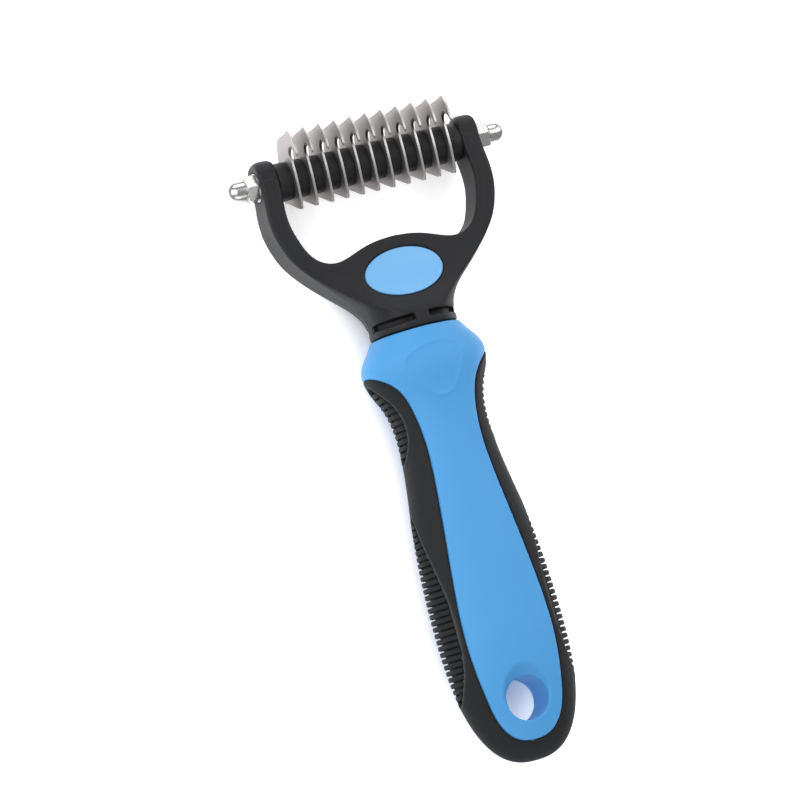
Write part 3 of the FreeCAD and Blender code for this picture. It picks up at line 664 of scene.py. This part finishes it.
# %% Outlines of the blue panel and of the thumb ring
panel_edge = curve_through(
    [
        (0, -13.2), (2.4, -13.0), (5.4, -12.0), (9.1, -8.6), (11.4, -3.8), (12.9, 3.0),
        (14.2, 12.5), (14.6, 24.0), (13.6, 39.0), (11.5, 58.0), (10.0, 72.0), (9.4, 85.0),
        (10.5, 95.0), (13.4, 103.0), (17.2, 107.2), (22.5, 110.8), (30.0, 113.2),
    ],
    150,
)
panel_outline = mirrored(np.concatenate([[(30.0, 140.0)], panel_edge[::-1]]))
ring_outline = curve_through(
    [
        (0.5, 115.2), (-5.5, 114.0), (-10.3, 110.6), (-9.4, 106.4), (-4.6, 100.4), (0, 98.2),
        (3.6, 99.8), (7.2, 105.0), (9.2, 110.6), (6.6, 114.3), (0.5, 115.2),
    ],
    90,
)

# %% The handle's distance field
handle_grid = Grid((-23.0, BUTT - 1.5, -15.8), (23.0, HANDLE_TOP + 1.5, 15.8), 0.5)


def handle_field(grid):
    """An ellipse at every height; below the belly it closes as a rounded end."""
    share = np.maximum((BELLY[0] - grid.y) / (BELLY[0] - BUTT), 0)
    width, depth = (part.reshape(1, -1, 1) for part in handle_halves(grid.y.ravel()))
    near = np.minimum(share, 0.985)
    slim = (1 - near**DEEP_ROUND) ** (1 / DEEP_ROUND) / (1 - near**WIDE_ROUND) ** (1 / WIDE_ROUND)
    width = np.where(share > 0, BELLY[1], width)
    depth = np.where(share > 0, BELLY[2] * slim, depth)
    across = np.hypot(grid.x / width, grid.z / depth)
    closed = (across**WIDE_ROUND + share**WIDE_ROUND) ** (1 / WIDE_ROUND)
    body = evened(closed - 1, grid.step)
    return both(body, grid.y - HANDLE_TOP + 0 * body, 0.5)


outside = handle_field(handle_grid)
panel_gap = outline_distance(panel_outline, handle_grid.x, handle_grid.y)

# %% Cut the blue body
BORDER = 0.07  # half the gap between blue and black
HOLE_RADIUS = 7.0
RING_PROUD, RING_SPREAD, RING_BOWL = 0.26, 0.45, 0.22
DISH_FROM, DISH_DEEP, DISH_FLARE = 7.7, 2.2, 1.5


def blue_field(grid):
    ring = outline_distance(ring_outline, grid.x, grid.y)
    proud = RING_PROUD * np.exp(-((ring / RING_SPREAD) ** 2))
    proud = proud - RING_BOWL * np.clip(-ring / 3.0, 0, 1)
    body = both(outside - proud, panel_gap + BORDER, 0.4)
    bore = HOLE_RADIUS - np.hypot(grid.x, grid.y)
    lip = np.clip((np.abs(grid.z) - DISH_FROM) / DISH_DEEP, 0, 1.3)
    flare = HOLE_RADIUS + DISH_FLARE * lip**0.8
    dish = flare - np.hypot(grid.x, grid.y - DISH_FLARE * lip)
    return both(body, np.maximum(bore, dish), 0.45)


points, faces = skin_of(blue_field(handle_grid), handle_grid)
new_piece("blue_body", points, faces, soft_blue, "blue_plastic", "handle_and_fork", "handle_body")

# %% [markdown]
# ## Ribbed patches
# Fingers grip the handle's sides, where two leaf-shaped patches are sunk into the rubber with
# a thin raised rim, and cross ribs stand in them up to the skin. The sunk patches are part of
# the grip's field. The ribs repeat, so Geometry Nodes makes them: one rounded bar, instanced
# on a seed point for each rib, bent on to the handle by sums on each point's place.

# %% The side grip with its sunk patches: lower end, upper end, half height and skew of each
PATCHES = (
    (0.665 * FORK_FOOT, 0.885 * FORK_FOOT, 5.4, 0.0),
    (0.020 * FORK_FOOT, 0.53 * FORK_FOOT, 7.0, 0.22),
)
RIB_PITCH = 2.05
RIB_DEPTH = 1.55
RIM_PROUD = 0.16


def leaf_reach(y, low, high, half, skew):
    """Half the patch's height at each y; skew moves its widest place towards the butt."""
    share = np.clip((2 * np.asarray(y, float) - low - high) / (high - low), -1, 1)
    share = share + skew * (1 - share**2)
    return half * (1 - np.abs(share) ** 2.4) ** 0.75


def leaf_outline(low, high, half, skew):
    y = low + (high - low) * (0.5 - 0.5 * np.cos(np.linspace(0, math.pi, 40)))
    reach = leaf_reach(y, low, high, half, skew)
    upper = np.stack([y, reach], axis=1)
    return np.concatenate([upper, upper[::-1] * (1, -1)])


def grip_field(grid):
    grip = both(outside, BORDER - panel_gap, 0.4)
    for patch in PATCHES:
        leaf = outline_distance(leaf_outline(*patch), grid.y[0], grid.z[0])[None]
        rim = np.exp(-(((leaf - 0.45) / 0.35) ** 2)) * (np.abs(outside) < 1)
        grip = grip - RIM_PROUD * rim
        sunk = both(leaf, -(outside + RIB_DEPTH), 0.3)
        grip = both(grip, -sunk, 0.22)
    return grip


points, faces = skin_of(grip_field(handle_grid), handle_grid)
skin = (points, faces, grip_black, "black_rubber")
grip = new_piece("grip_shell", *skin, "handle_and_fork", "side_grip")
# The painted highlight along each patch's raised rim, stored as the attribute rim.
rim_highlight = np.zeros(len(points))
for patch in PATCHES:
    leaf = outline_distance(leaf_outline(*patch), points[:, 1], points[:, 2])
    rim_highlight += np.exp(-(((leaf - 0.35) / 0.3) ** 2))
grip.data.attributes.new("rim", "FLOAT", "POINT").data.foreach_set("value", rim_highlight)


# %% A node tree built like a formula
class Tree(Finish):
    """A geometry node tree with named inputs, built with the same operators as a finish."""

    def __init__(self, name, sizes):
        self.tree = bpy.data.node_groups.new(name, "GeometryNodeTree")
        add = self.tree.interface.new_socket
        add("Geometry", in_out="INPUT", socket_type="NodeSocketGeometry")
        self.sizes = {}
        for label, kind in sizes.items():
            socket = add(label, in_out="INPUT", socket_type="NodeSocket" + kind)
            self.sizes[label] = socket.identifier
        add("Geometry", in_out="OUTPUT", socket_type="NodeSocketGeometry")
        self.given = self.tree.nodes.new("NodeGroupInput")

    def input(self, label):
        return Value(self, self.given.outputs[label])

    def close(self, geometry, finish):
        """Ends the tree: instances become real and take their finish."""
        real = self.node("GeometryNodeRealizeInstances", {}, {0: geometry})
        painted = self.node("GeometryNodeSetMaterial", {}, {0: real, "Material": finish.material})
        smooth = self.node("GeometryNodeSetShadeSmooth", {}, {0: painted})
        end = self.tree.nodes.new("NodeGroupOutput")
        self.put(end.inputs[0], smooth)

    def run(self, source, values, name):
        """Applies the tree to a mesh and returns the result as a plain mesh object."""
        carrier = linked(name + "_seed", source)
        modifier = carrier.modifiers.new("tree", "NODES")
        modifier.node_group = self.tree
        for label, value in values.items():
            modifier[self.sizes[label]] = value
        ready = carrier.evaluated_get(bpy.context.evaluated_depsgraph_get())
        mesh = bpy.data.meshes.new_from_object(ready)
        bpy.data.objects.remove(carrier)
        return linked(name, mesh)


# %% Seed points: one for each rib on each side


def rib_seeds():
    """Places of the ribs, with what each needs to know of the handle there."""
    seeds = {"place": [], "side": [], "half_width": [], "half_depth": [], "reach": []}
    for patch in PATCHES:
        low, high = patch[:2]
        count = int((high - low - 2.4) / RIB_PITCH)
        first = (low + high - (count - 1) * RIB_PITCH) / 2
        for k in range(count):
            y = first + k * RIB_PITCH
            width, depth = handle_halves([y])
            reach = float(leaf_reach(y, *patch)) - 0.3
            for side in (1, -1):
                seeds["place"].append((0, y * MM, 0))
                seeds["side"].append(side)
                seeds["half_width"].append(float(width[0]) * MM)
                seeds["half_depth"].append(float(depth[0]) * MM)
                seeds["reach"].append(reach * MM)
    mesh = bpy.data.meshes.new("rib_seeds")
    mesh.from_pydata(seeds.pop("place"), [], [])
    for label, values in seeds.items():
        mesh.attributes.new(label, "FLOAT", "POINT").data.foreach_set("value", values)
    return mesh


# %% The rib tree


def rib_tree(finish):
    sizes = {"Rib Width": "Float", "Rib Height": "Float", "Edge Radius": "Float"}
    tree = Tree("rib_rows", sizes)
    ends = {"Start": (0, 0, -1), "End": (0, 0, 1)}
    spine = tree.node("GeometryNodeCurvePrimitiveLine", {}, ends)
    spine = tree.node("GeometryNodeResampleCurve", {}, {0: spine, "Count": 15})
    block = {"Width": tree.input("Rib Height"), "Height": tree.input("Rib Width")}
    profile = tree.node("GeometryNodeCurvePrimitiveQuadrilateral", {}, block)
    rounding = {0: profile, "Radius": tree.input("Edge Radius"), "Count": 3}
    profile = tree.node("GeometryNodeFilletCurve", {"mode": "POLY"}, rounding)
    bar = {"Curve": spine, "Profile Curve": profile, "Fill Caps": True}
    bar = tree.node("GeometryNodeCurveToMesh", {}, bar)
    rows = {"Points": tree.input("Geometry"), "Instance": bar}
    rows = tree.node("GeometryNodeInstanceOnPoints", {}, rows)
    rows = tree.node("GeometryNodeRealizeInstances", {}, {0: rows})
    known = {}
    for label in ("side", "half_width", "half_depth", "reach"):
        known[label] = tree.node("GeometryNodeInputNamedAttribute", {}, {"Name": label})
    position = tree.node("GeometryNodeInputPosition", {}, {})
    split = tree.node("ShaderNodeSeparateXYZ", {}, {0: position})
    out, up, along = [Value(tree, output) for output in split.socket.node.outputs]
    depth = along * known["reach"]
    lean = depth / known["half_depth"]
    skin = (1 - lean * lean).step("SQRT") * known["half_width"]
    tip = 1 - along.size().ramp(0.8, 1.0) * 0.45
    across = (skin - tree.input("Rib Height") / 2 + out * tip) * known["side"]
    moved = tree.node("ShaderNodeCombineXYZ", {}, {0: across, 1: up, 2: depth})
    bent = tree.node("GeometryNodeSetPosition", {}, {"Geometry": rows, "Position": moved})
    tree.close(bent, finish)
    return tree


rib_sizes = {"Rib Width": 1.46 * MM, "Rib Height": (RIB_DEPTH + 0.5) * MM, "Edge Radius": 0.36 * MM}
ribs = rib_tree(grip_black).run(rib_seeds(), rib_sizes, "grip_ribs")
dressed(ribs, grip_black, "black_rubber", "handle_and_fork")

# %% [markdown]
# ## The fork
# Seen from the front the fork is two bowed arms, a plate and a neck. Seen from the side it is
# flat until the neck, where its face climbs to the handle's thickness. The face narrows to a
# V as it climbs, and the flanks turn into the near-round neck. So the field needs the front
# outline, and for each place the height of the face above the middle plane.

# %% Fork outline, from the foot of the neck round one arm to the middle of the window
outer_edge = curve_through(
    [
        (14.4, -57.5), (14.4, -54.0), (14.7, -50.2), (16.0, -46.8), (18.6, -43.6), (23.0, -39.4),
        (27.5, -34.9), (31.2, -30.8), (34.4, -26.4), (36.9, -20.7), (38.2, -14.6), (38.2, -9.0),
        (37.6, -3.0), (37.6, 2.0),
    ],
    120,
)
inner_edge = curve_through(
    [
        (31.3, 2.0), (31.3, -2.5), (31.9, -9.0), (31.8, -14.5), (30.3, -20.5), (28.0, -25.5),
        (24.6, -28.6), (20.3, -29.7), (15.9, -28.8), (11.4, -27.2), (6.1, -25.9), (0, -25.4),
    ],
    120,
)
END_ROUND = 2.4
end_y = ARM_TOP - ROD_Y - END_ROUND
outer_corner = corner(ARM_OUTER - END_ROUND, end_y, END_ROUND, 0)
inner_corner = corner(ARM_INNER + END_ROUND, end_y, END_ROUND, 90)
fork_outline = mirrored(np.concatenate([outer_edge, outer_corner, inner_corner, inner_edge]))
fork_outline[:, 1] += ROD_Y

# %% Height of the fork's face: place along from the rod, height, half its flat, flank height
face_stations = np.array(
    [
        (-56.5, 12.5, 4.4, 1.0), (-52.6, 12.4, 4.6, 1.2), (-50.2, 11.9, 5.6, 1.8),
        (-47.2, 10.5, 10.0, 3.0), (-44.5, 9.2, 13.6, 4.2), (-41.5, 8.1, 17.2, 5.2),
        (-38.0, 7.1, 22.3, 5.9), (-34.5, 6.6, 27.4, 6.2), (-30.0, 6.5, 33.0, 6.4),
        (-10.0, 6.5, 40.0, 6.5),
    ]
)


def face_height(x, y):
    """Height of the fork's face above its middle plane, front and back alike."""
    drop = np.ravel(y) - ROD_Y
    slopes = spline_slopes(face_stations[:, 0], face_stations[:, 1:])
    height, flat, flank = spline_at(face_stations[:, 0], face_stations[:, 1:], slopes, drop).T
    wall = np.interp(drop, outer_edge[:, 1], outer_edge[:, 0])
    shaped = [part.reshape(np.shape(y)) for part in (height, flat, flank, wall)]
    height, flat, flank, wall = shaped
    share = np.clip((np.abs(x) - flat) / np.maximum(wall - flat, 0.6), 0, 1)
    return flank + (height - flank) * (1 - share**1.7) ** 0.62


# %% The fork's field
fork_grid = Grid((-40.0, 85.5, -13.6), (40.0, ARM_TOP + 1.2, 13.6), 0.5)
BADGE = (ROD_Y - 37.4, 13.1, 7.8)  # its middle, half width and half height
BADGE_FLOOR = 5.0
SLOT = (FORK_FOOT + 2.3, FORK_FOOT + 4.3)
SLOT_FROM, SLOT_TO = 2.3, 13.6
SLOT_FLOOR = (12.8, 8.6)
TANG_HALF, TANG_LONG = (7.5, 4), 34
ROD_HOLE, SEAT_RADIUS, SEAT_DEEP = 2.58, 4.8, 1.1


def badge_distance(x, y):
    """About the distance from the oval's edge; negative inside."""
    lean = np.hypot(x / BADGE[1], (y - BADGE[0]) / BADGE[2])
    steep = np.hypot(x / BADGE[1] ** 2, (y - BADGE[0]) / BADGE[2] ** 2)
    return lean * (lean - 1) / np.maximum(steep, 1e-3)


def box_distance(grid, low, high):
    """How far each cell is outside a box; negative inside."""
    sides = []
    for line, start, end in zip((grid.x, grid.y, grid.z), low, high):
        sides.append(np.maximum(start - line, line - end))
    return np.maximum(np.maximum(sides[0], sides[1]), sides[2])


def slot_distance(grid):
    """The two dark slots across each face of the neck, either side of the middle rib."""
    along = np.maximum(SLOT[0] - grid.y, grid.y - SLOT[1])
    across = np.maximum(SLOT_FROM - np.abs(grid.x), np.abs(grid.x) - SLOT_TO)
    floor = 1.0 - np.hypot(grid.x / SLOT_FLOOR[0], grid.z / SLOT_FLOOR[1])
    return np.maximum(np.maximum(along, across), floor * SLOT_FLOOR[1])


def fork_field(grid):
    front = outline_distance(fork_outline, grid.x, grid.y)
    face = face_height(*np.broadcast_arrays(grid.x[:, :, 0], grid.y[:, :, 0]))
    layer = evened(np.abs(grid.z) - face[:, :, None], grid.step)
    fork = both(front, layer, 1.15)
    round_y = ARM_TOP - PLATE_HALF
    round_end = np.hypot(np.maximum(grid.y - round_y, 0), grid.z) - PLATE_HALF
    fork = np.where(grid.y > round_y - 1, both(fork, round_end, 0.9), fork)
    fork = both(fork, FORK_FOOT - grid.y, 0.35)
    wide, deep = TANG_HALF
    tang = (-wide, FORK_FOOT - TANG_LONG, -deep), (wide, FORK_FOOT + 2, deep)
    fork = either(fork, box_distance(grid, *tang), 0.3)
    seat = both(badge_distance(grid.x, grid.y) - 0.12, BADGE_FLOOR - np.abs(grid.z), 0.2)
    fork = both(fork, -seat, 0.22)
    fork = both(fork, -slot_distance(grid), 0.2)
    rod_gap = np.hypot(grid.y - ROD_Y, grid.z)
    fork = both(fork, ROD_HOLE - rod_gap, 0.15)
    seats = np.maximum(rod_gap - SEAT_RADIUS, ARM_OUTER - SEAT_DEEP - np.abs(grid.x))
    return both(fork, -seats, 0.2)


points, faces = skin_of(fork_field(fork_grid), fork_grid)
skin = (points, faces, fork_black, "black_plastic")
new_piece("fork_moulding", *skin, "handle_and_fork", "fork")

# %% [markdown]
# ### Oval badges
# A paler oval sits flush in each face of the fork. It follows the face's climb, so it uses the
# same height function, with a slight crown and a rounded rim.


# %% Two oval badges
def badge_piece(name, way):
    low, high = box_mm(name)
    grid = Grid((-14, BADGE[0] - 9, 4.0), (14, BADGE[0] + 9, 11.5), 0.36)
    oval = badge_distance(grid.x, grid.y) + 0.03
    face = face_height(*np.broadcast_arrays(grid.x[:, :, 0], grid.y[:, :, 0]))
    crown = 0.10 * np.clip(-oval / 6.0, 0, 1) ** 0.5
    layer = evened(grid.z - face[:, :, None] - crown, grid.step)
    badge = both(both(oval, layer, 0.3), BADGE_FLOOR + 0.02 - grid.z, 0.1)
    points, faces = skin_of(badge, grid)
    if way < 0:
        points = points * (1, 1, -1)
        faces = faces[:, ::-1]
    skin = (points, faces, badge_blue, "light_blue_plastic")
    new_piece(name + "_smooth", *skin, "handle_and_fork", name)
    print(name, "lies between", low.round(1), "and", high.round(1))


badge_piece("oval_inlay_front", 1)
badge_piece("oval_inlay_back", -1)

# %% [markdown]
# ## Blades
# A blade is stamped from 0.8 mm sheet, and its front edge and the inside of its hook are ground
# on both faces to a thin cutting edge. The mesh is made of loops: the outline at the thin edge,
# the same outline drawn in by the width of the bevel at full thickness, and the keyed hole.
# One blade is made and Geometry Nodes repeats it along the rod.

# %% Blade outline: (rise above the rod, reach to the front), steps and bevel width of each run
BLADE_HALF = 0.4
BLADE_RUNS = [
    ([(13.9, 13.4), (9.2, 14.9), (4.4, 15.25)], 14, 0.24),
    (
        [(4.4, 15.25), (4.9, 14.2), (6.2, 13.5), (7.5, 12.2), (7.9, 10.6), (7.2, 9.1), (5.3, 8.4)],
        22,
        1.0,
    ),
    ([(5.3, 8.4), (-1.4, 8.15), (-7.2, 6.9), (-9.9, 5.9), (-10.75, 4.9)], 34, 0.24),
    ([(-10.75, 4.9), (-10.2, 3.4), (-7.7, -3.0), (-5.3, -9.2), (-4.8, -10.4)], 20, 0.16),
    ([(-4.8, -10.4), (-4.0, -10.1), (4.0, -6.1), (12.4, -1.2), (13.3, -0.4)], 20, 0.16),
    ([(13.3, -0.4), (13.5, 0.4), (13.6, 6.0), (13.9, 13.4)], 16, 0.3),
]


def softened(values, times):
    """Each value of a closed loop, averaged with its neighbours this many times."""
    for _ in range(times):
        values = (values + np.roll(values, 1, axis=0) + np.roll(values, -1, axis=0)) / 3
    return values


def blade_loops():
    """The thin edge, the line where the bevel ends, and the bevel's width at each point."""
    runs = [curve_through(points, count)[:-1] for points, count, width in BLADE_RUNS]
    outline = softened(np.concatenate(runs), 2)
    widths = [np.full(count - 1, width) for points, count, width in BLADE_RUNS]
    widths = softened(np.concatenate(widths), 3)
    along = np.roll(outline, -1, axis=0) - np.roll(outline, 1, axis=0)
    along /= np.linalg.norm(along, axis=1)[:, None]
    inwards = np.stack([-along[:, 1], along[:, 0]], axis=1)
    middle = outline.mean(axis=0)
    if ((middle - outline) * inwards).sum() < 0:
        inwards = -inwards
    return outline, outline + inwards * widths[:, None], widths


def keyed_hole(radius, flats, count=48):
    """A round hole with two flat sides, which keeps the blade from turning on the rod."""
    angles = np.linspace(0, 2 * math.pi, count, endpoint=False)
    ring = np.stack([radius * np.cos(angles), radius * np.sin(angles)], axis=1)
    ring[:, 1] = np.clip(ring[:, 1], -flats, flats)
    return ring


# %% One blade as a mesh
EDGE_HALF = 0.12  # half the steel left at the ground edge inside the hook
KEY_RADIUS, KEY_FLATS = 2.55, 2.1


def blade_mesh():
    outline, inner, widths = blade_loops()
    thin = np.where(widths > 0.6, EDGE_HALF, BLADE_HALF - 0.07)
    # Painted shade for the hook's throat: 1 where the bevel is wide, inside the hook, and 0 on the
    # rest.
    painted_shade_mask = np.clip(widths - 0.3, 0, 0.7) / 0.7
    hole = keyed_hole(KEY_RADIUS, KEY_FLATS)
    made = bmesh.new()
    ground = made.verts.layers.float.new("ground")
    throat = made.verts.layers.float.new("throat")

    def loop(points, height, mark, dark=0.0):
        """A ring of corners; height and dark, the painted shade of the hook's throat, are one
        number or one for each corner.
        """
        verts = []
        heights, painted_shades = (np.broadcast_to(part, len(points)) for part in (height, dark))
        for (rise, reach), side, share in zip(points, heights, painted_shades):
            vert = made.verts.new((side * MM, rise * MM, reach * MM))
            vert[ground] = mark
            vert[throat] = share
            verts.append(vert)
        return verts

    def bridge(first, second):
        for k in range(len(first)):
            made.faces.new((first[k - 1], first[k], second[k], second[k - 1]))

    def ring_edges(verts):
        pairs = [(verts[k], verts[k - 1]) for k in range(len(verts))]
        return [made.edges.get(pair) or made.edges.new(pair) for pair in pairs]

    rims, bores = [], []
    for way in (1, -1):
        edge = loop(outline, way * thin, 1.0, painted_shade_mask)
        lip = loop(outline + (inner - outline) * 0.9, way * BLADE_HALF * 0.93, 1.0, painted_shade_mask)
        flat = loop(inner, way * BLADE_HALF, 0.0)
        bore = loop(hole, way * BLADE_HALF, 0.0)
        bridge(edge, lip)
        bridge(lip, flat)
        bmesh.ops.triangle_fill(made, use_beauty=True, edges=ring_edges(flat) + ring_edges(bore))
        rims.append(edge)
        bores.append(bore)
    bridge(*rims)
    bridge(*bores)
    bmesh.ops.recalc_face_normals(made, faces=made.faces)
    mesh = bpy.data.meshes.new("blade")
    made.to_mesh(mesh)
    made.free()
    mesh.validate()
    return mesh


# %% Repeat a piece along the rod


def row_tree(name, finish):
    sizes = {"Count": "Int", "Pitch": "Float", "Splay": "Float", "Seed": "Int"}
    tree = Tree(name, sizes)
    start = (tree.input("Count") - 1) * tree.input("Pitch") * -0.5
    first = tree.node("ShaderNodeCombineXYZ", {}, {0: start})
    gap = tree.node("ShaderNodeCombineXYZ", {}, {0: tree.input("Pitch")})
    line = {"Count": tree.input("Count"), "Start Location": first, "Offset": gap}
    line = tree.node("GeometryNodeMeshLine", {}, line)
    decimal = {"data_type": "FLOAT"}
    limits = {2: tree.input("Splay") * -1.0, 3: tree.input("Splay"), "Seed": tree.input("Seed")}
    random = tree.node("FunctionNodeRandomValue", decimal, limits, 1)
    tilt = tree.node("ShaderNodeCombineXYZ", {}, {1: random * 0.4, 2: random})
    row = {"Points": line, "Instance": tree.input("Geometry"), "Rotation": tilt}
    row = tree.node("GeometryNodeInstanceOnPoints", {}, row)
    tone = tree.node("FunctionNodeRandomValue", decimal, {"Seed": tree.input("Seed")}, 1)
    label = {"Geometry": row, "Name": "tone", "Value": tone}
    each_blade = {"data_type": "FLOAT", "domain": "INSTANCE"}
    row = tree.node("GeometryNodeStoreNamedAttribute", each_blade, label)
    up = tree.node("ShaderNodeCombineXYZ", {}, {1: ROD_Y * MM})
    row = tree.node("GeometryNodeSetPosition", {}, {"Geometry": row, "Offset": up})
    tree.close(row, finish)
    return tree


def flat_edges(piece, degrees):
    """Keeps edges sharper than the angle crisp under smooth shading."""
    piece.data.set_sharp_from_angle(angle=math.radians(degrees))


blade_nodes = sorted(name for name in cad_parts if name.startswith("blade_"))
spacer_nodes = sorted(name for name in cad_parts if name.startswith("spacer_"))
pitch = (box_mm(blade_nodes[1])[0] - box_mm(blade_nodes[0])[0])[0] * MM
blade_row = {"Count": len(blade_nodes), "Pitch": float(pitch), "Splay": 0.002, "Seed": 4}
blades = row_tree("blade_row", blade_steel).run(blade_mesh(), blade_row, "hook_blades")
dressed(blades, blade_steel, "blade_steel", "blade_pack", *blade_nodes)
flat_edges(blades, 7)

# %% [markdown]
# ## Spacers
# Short black tubes keep the blades apart. Each swells a little at its middle and has rounded
# rims. A turned shape is a profile swept round the rod, so a small function makes any tube,
# and the same row of nodes repeats it.


# %% Turned shapes
def ring_of(x, radius, count):
    """A ring of points round the X axis; radius is a function of the angle."""
    angles = np.linspace(0, 2 * math.pi, count, endpoint=False)
    return [(x, radius(a) * math.cos(a), radius(a) * math.sin(a)) for a in angles]


def bands(rings, count, closed):
    """The faces between neighbouring rings of points, and from last to first if closed."""
    faces = []
    for k in range(rings if closed else rings - 1):
        low, high = k * count, (k + 1) % rings * count
        for n in range(count):
            after = (n + 1) % count
            faces.append((low + n, low + after, high + after, high + n))
    return faces


def outward_mesh(name, points, faces):
    """A mesh of points in millimetres, with every face turned outwards."""
    mesh = bpy.data.meshes.new(name)
    mesh.from_pydata((np.array(points) * MM).tolist(), [], faces)
    made = bmesh.new()
    made.from_mesh(mesh)
    bmesh.ops.recalc_face_normals(made, faces=made.faces)
    made.to_mesh(mesh)
    made.free()
    return mesh


def tube_profile(half, outer, inner, edge=0.22, swell=0.16):
    """A tube's profile: rounded rims and a wall that swells a little at its middle."""
    turns = np.linspace(0, math.pi / 2, 6)
    out, along = outer - swell - edge, half - edge
    rim = [(along + edge * math.sin(a), out + edge * math.cos(a)) for a in turns]
    inside = np.linspace(-along, along, 9)[1:-1]
    wall = [(x, outer - swell * (x / half) ** 2) for x in inside]
    left = [(-x, r) for x, r in rim[::-1]]
    return [(-half, inner)] + left + wall + rim + [(half, inner)]


def tube_mesh(name, half, outer=6.2, inner=2.56, count=72):
    profile = tube_profile(half, outer, inner)
    points = [point for x, r in profile for point in ring_of(x, lambda angle: r, count)]
    return outward_mesh(name, points, bands(len(profile), count, True))


# %% The row of spacers and the two end spacers
spacer_low, spacer_high = box_mm(spacer_nodes[0])
TUBE_GAP = 0.02
one_spacer = tube_mesh("spacer", float(spacer_high[0] - spacer_low[0]) / 2 - TUBE_GAP)
spacer_row = {"Count": len(spacer_nodes), "Pitch": float(pitch), "Splay": 0.0, "Seed": 9}
spacers = row_tree("spacer_row", spacer_black).run(one_spacer, spacer_row, "spacers")
dressed(spacers, spacer_black, "black_plastic", "blade_pack", *spacer_nodes)
flat_edges(spacers, 50)

for side in ("left", "right"):
    node = "end_spacer_" + side
    low, high = box_mm(node)
    mesh = tube_mesh(node, float(high[0] - low[0]) / 2 - TUBE_GAP)
    mesh.transform(Matrix.Translation(Vector((low + high) / 2) * MM))
    mesh.shade_smooth()
    tube = linked(node + "_tube", mesh)
    dressed(tube, spacer_black, "black_plastic", "blade_pack", node)
    flat_edges(tube, 50)

# %% [markdown]
# ## Dome nuts
# A dome nut is a hexagon with its corners turned off at both ends, a fine groove, and a
# polished cap. Round the axis, its radius at each place is the least of the hexagon's and the
# turning tool's, which draws the curved scallops of a real nut without any cutting.

# %% Dome nut
NUT = {"flats": 8.0, "hexagon": 3.9, "length": 10.4, "dome": 3.85, "groove": 0.28}
NUT_BORE, NUT_BORE_DEEP = 2.55, 7.9
GROOVE_WIDE = 0.5
CHAMFER_SLOPE = 1.75


def nut_radius(x, angle):
    """The nut's radius at a distance along it and an angle round it."""
    sector = (angle + math.pi / 6) % (math.pi / 3) - math.pi / 6
    half = NUT["flats"] / 2
    hexagon = half / math.cos(sector)
    if x <= NUT["hexagon"]:
        chamfer = half + 0.12 + CHAMFER_SLOPE * min(x, NUT["hexagon"] - x)
        return min(hexagon, chamfer)
    neck = NUT["dome"] - NUT["groove"]
    run = NUT["length"] - NUT["dome"]
    if x <= NUT["hexagon"] + GROOVE_WIDE:
        rise = (x - NUT["hexagon"]) / GROOVE_WIDE
        return neck + NUT["groove"] * max(0, rise - 0.4) / 0.6
    if x <= run:
        return NUT["dome"]
    return math.sqrt(max(NUT["dome"] ** 2 - (x - run) ** 2, 0))


def nut_stops():
    """Distances along the nut that need a ring of points: corners, groove and dome."""
    hexagon, run = NUT["hexagon"], NUT["length"] - NUT["dome"]
    low = [0, 0.06, 0.15, 0.25, 0.35, 0.5]
    stops = low + [1.2, 2.0, 2.8] + [hexagon - part for part in low[::-1]]
    stops += [hexagon + part for part in (0.001, 0.12, 0.24, 0.34, 0.44, GROOVE_WIDE)]
    return stops + [run + NUT["dome"] * math.sin(a) for a in np.linspace(0, math.pi / 2, 15)[:-1]]


def nut_piece(side, count=120):
    """The bore from its floor out, then the outside from the base to the tip."""
    node = "acorn_nut_" + side
    way = 1 if side == "right" else -1
    rings = [ring_of(x, lambda angle: NUT_BORE, count) for x in (NUT_BORE_DEEP, 0.3, 0)]
    rings += [ring_of(x, lambda angle: nut_radius(x, angle), count) for x in nut_stops()]
    points = [point for ring in rings for point in ring]
    faces = bands(len(rings), count, False)
    floor, tip, last = len(points), len(points) + 1, len(points) - count
    points += [(NUT_BORE_DEEP, 0, 0), (NUT["length"], 0, 0)]
    for n in range(count):
        after = (n + 1) % count
        faces += [(n, floor, after), (last + n, last + after, tip)]
    points = (np.array(points) + (ARM_OUTER, 0, 0)) * (way, 1, 1) + (0, ROD_Y, 0)
    mesh = outward_mesh(node, points, faces)
    mesh.shade_smooth()
    nut = linked("dome_nut_" + side, mesh)
    dressed(nut, nickel, "nickel_plate", side + "_nut", node)
    flat_edges(nut, 16)


nut_piece("left")
nut_piece("right")

# %% [markdown]
# ## Pieces that keep their engineering shape
# The rod, the washers and the handle's inner core are already the right shape: plain turned and
# moulded pieces, mostly out of sight. They only get their finishes, with a thread drawn as
# relief on the rod's ends.

# %% Finishes for the kept pieces
kept = {"rod": rod_steel, "washer_left": zinc, "washer_right": zinc, "handle_core": core_white}
for node, finish in kept.items():
    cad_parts[node].data.materials.clear()
    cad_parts[node].data.materials.append(finish.material)
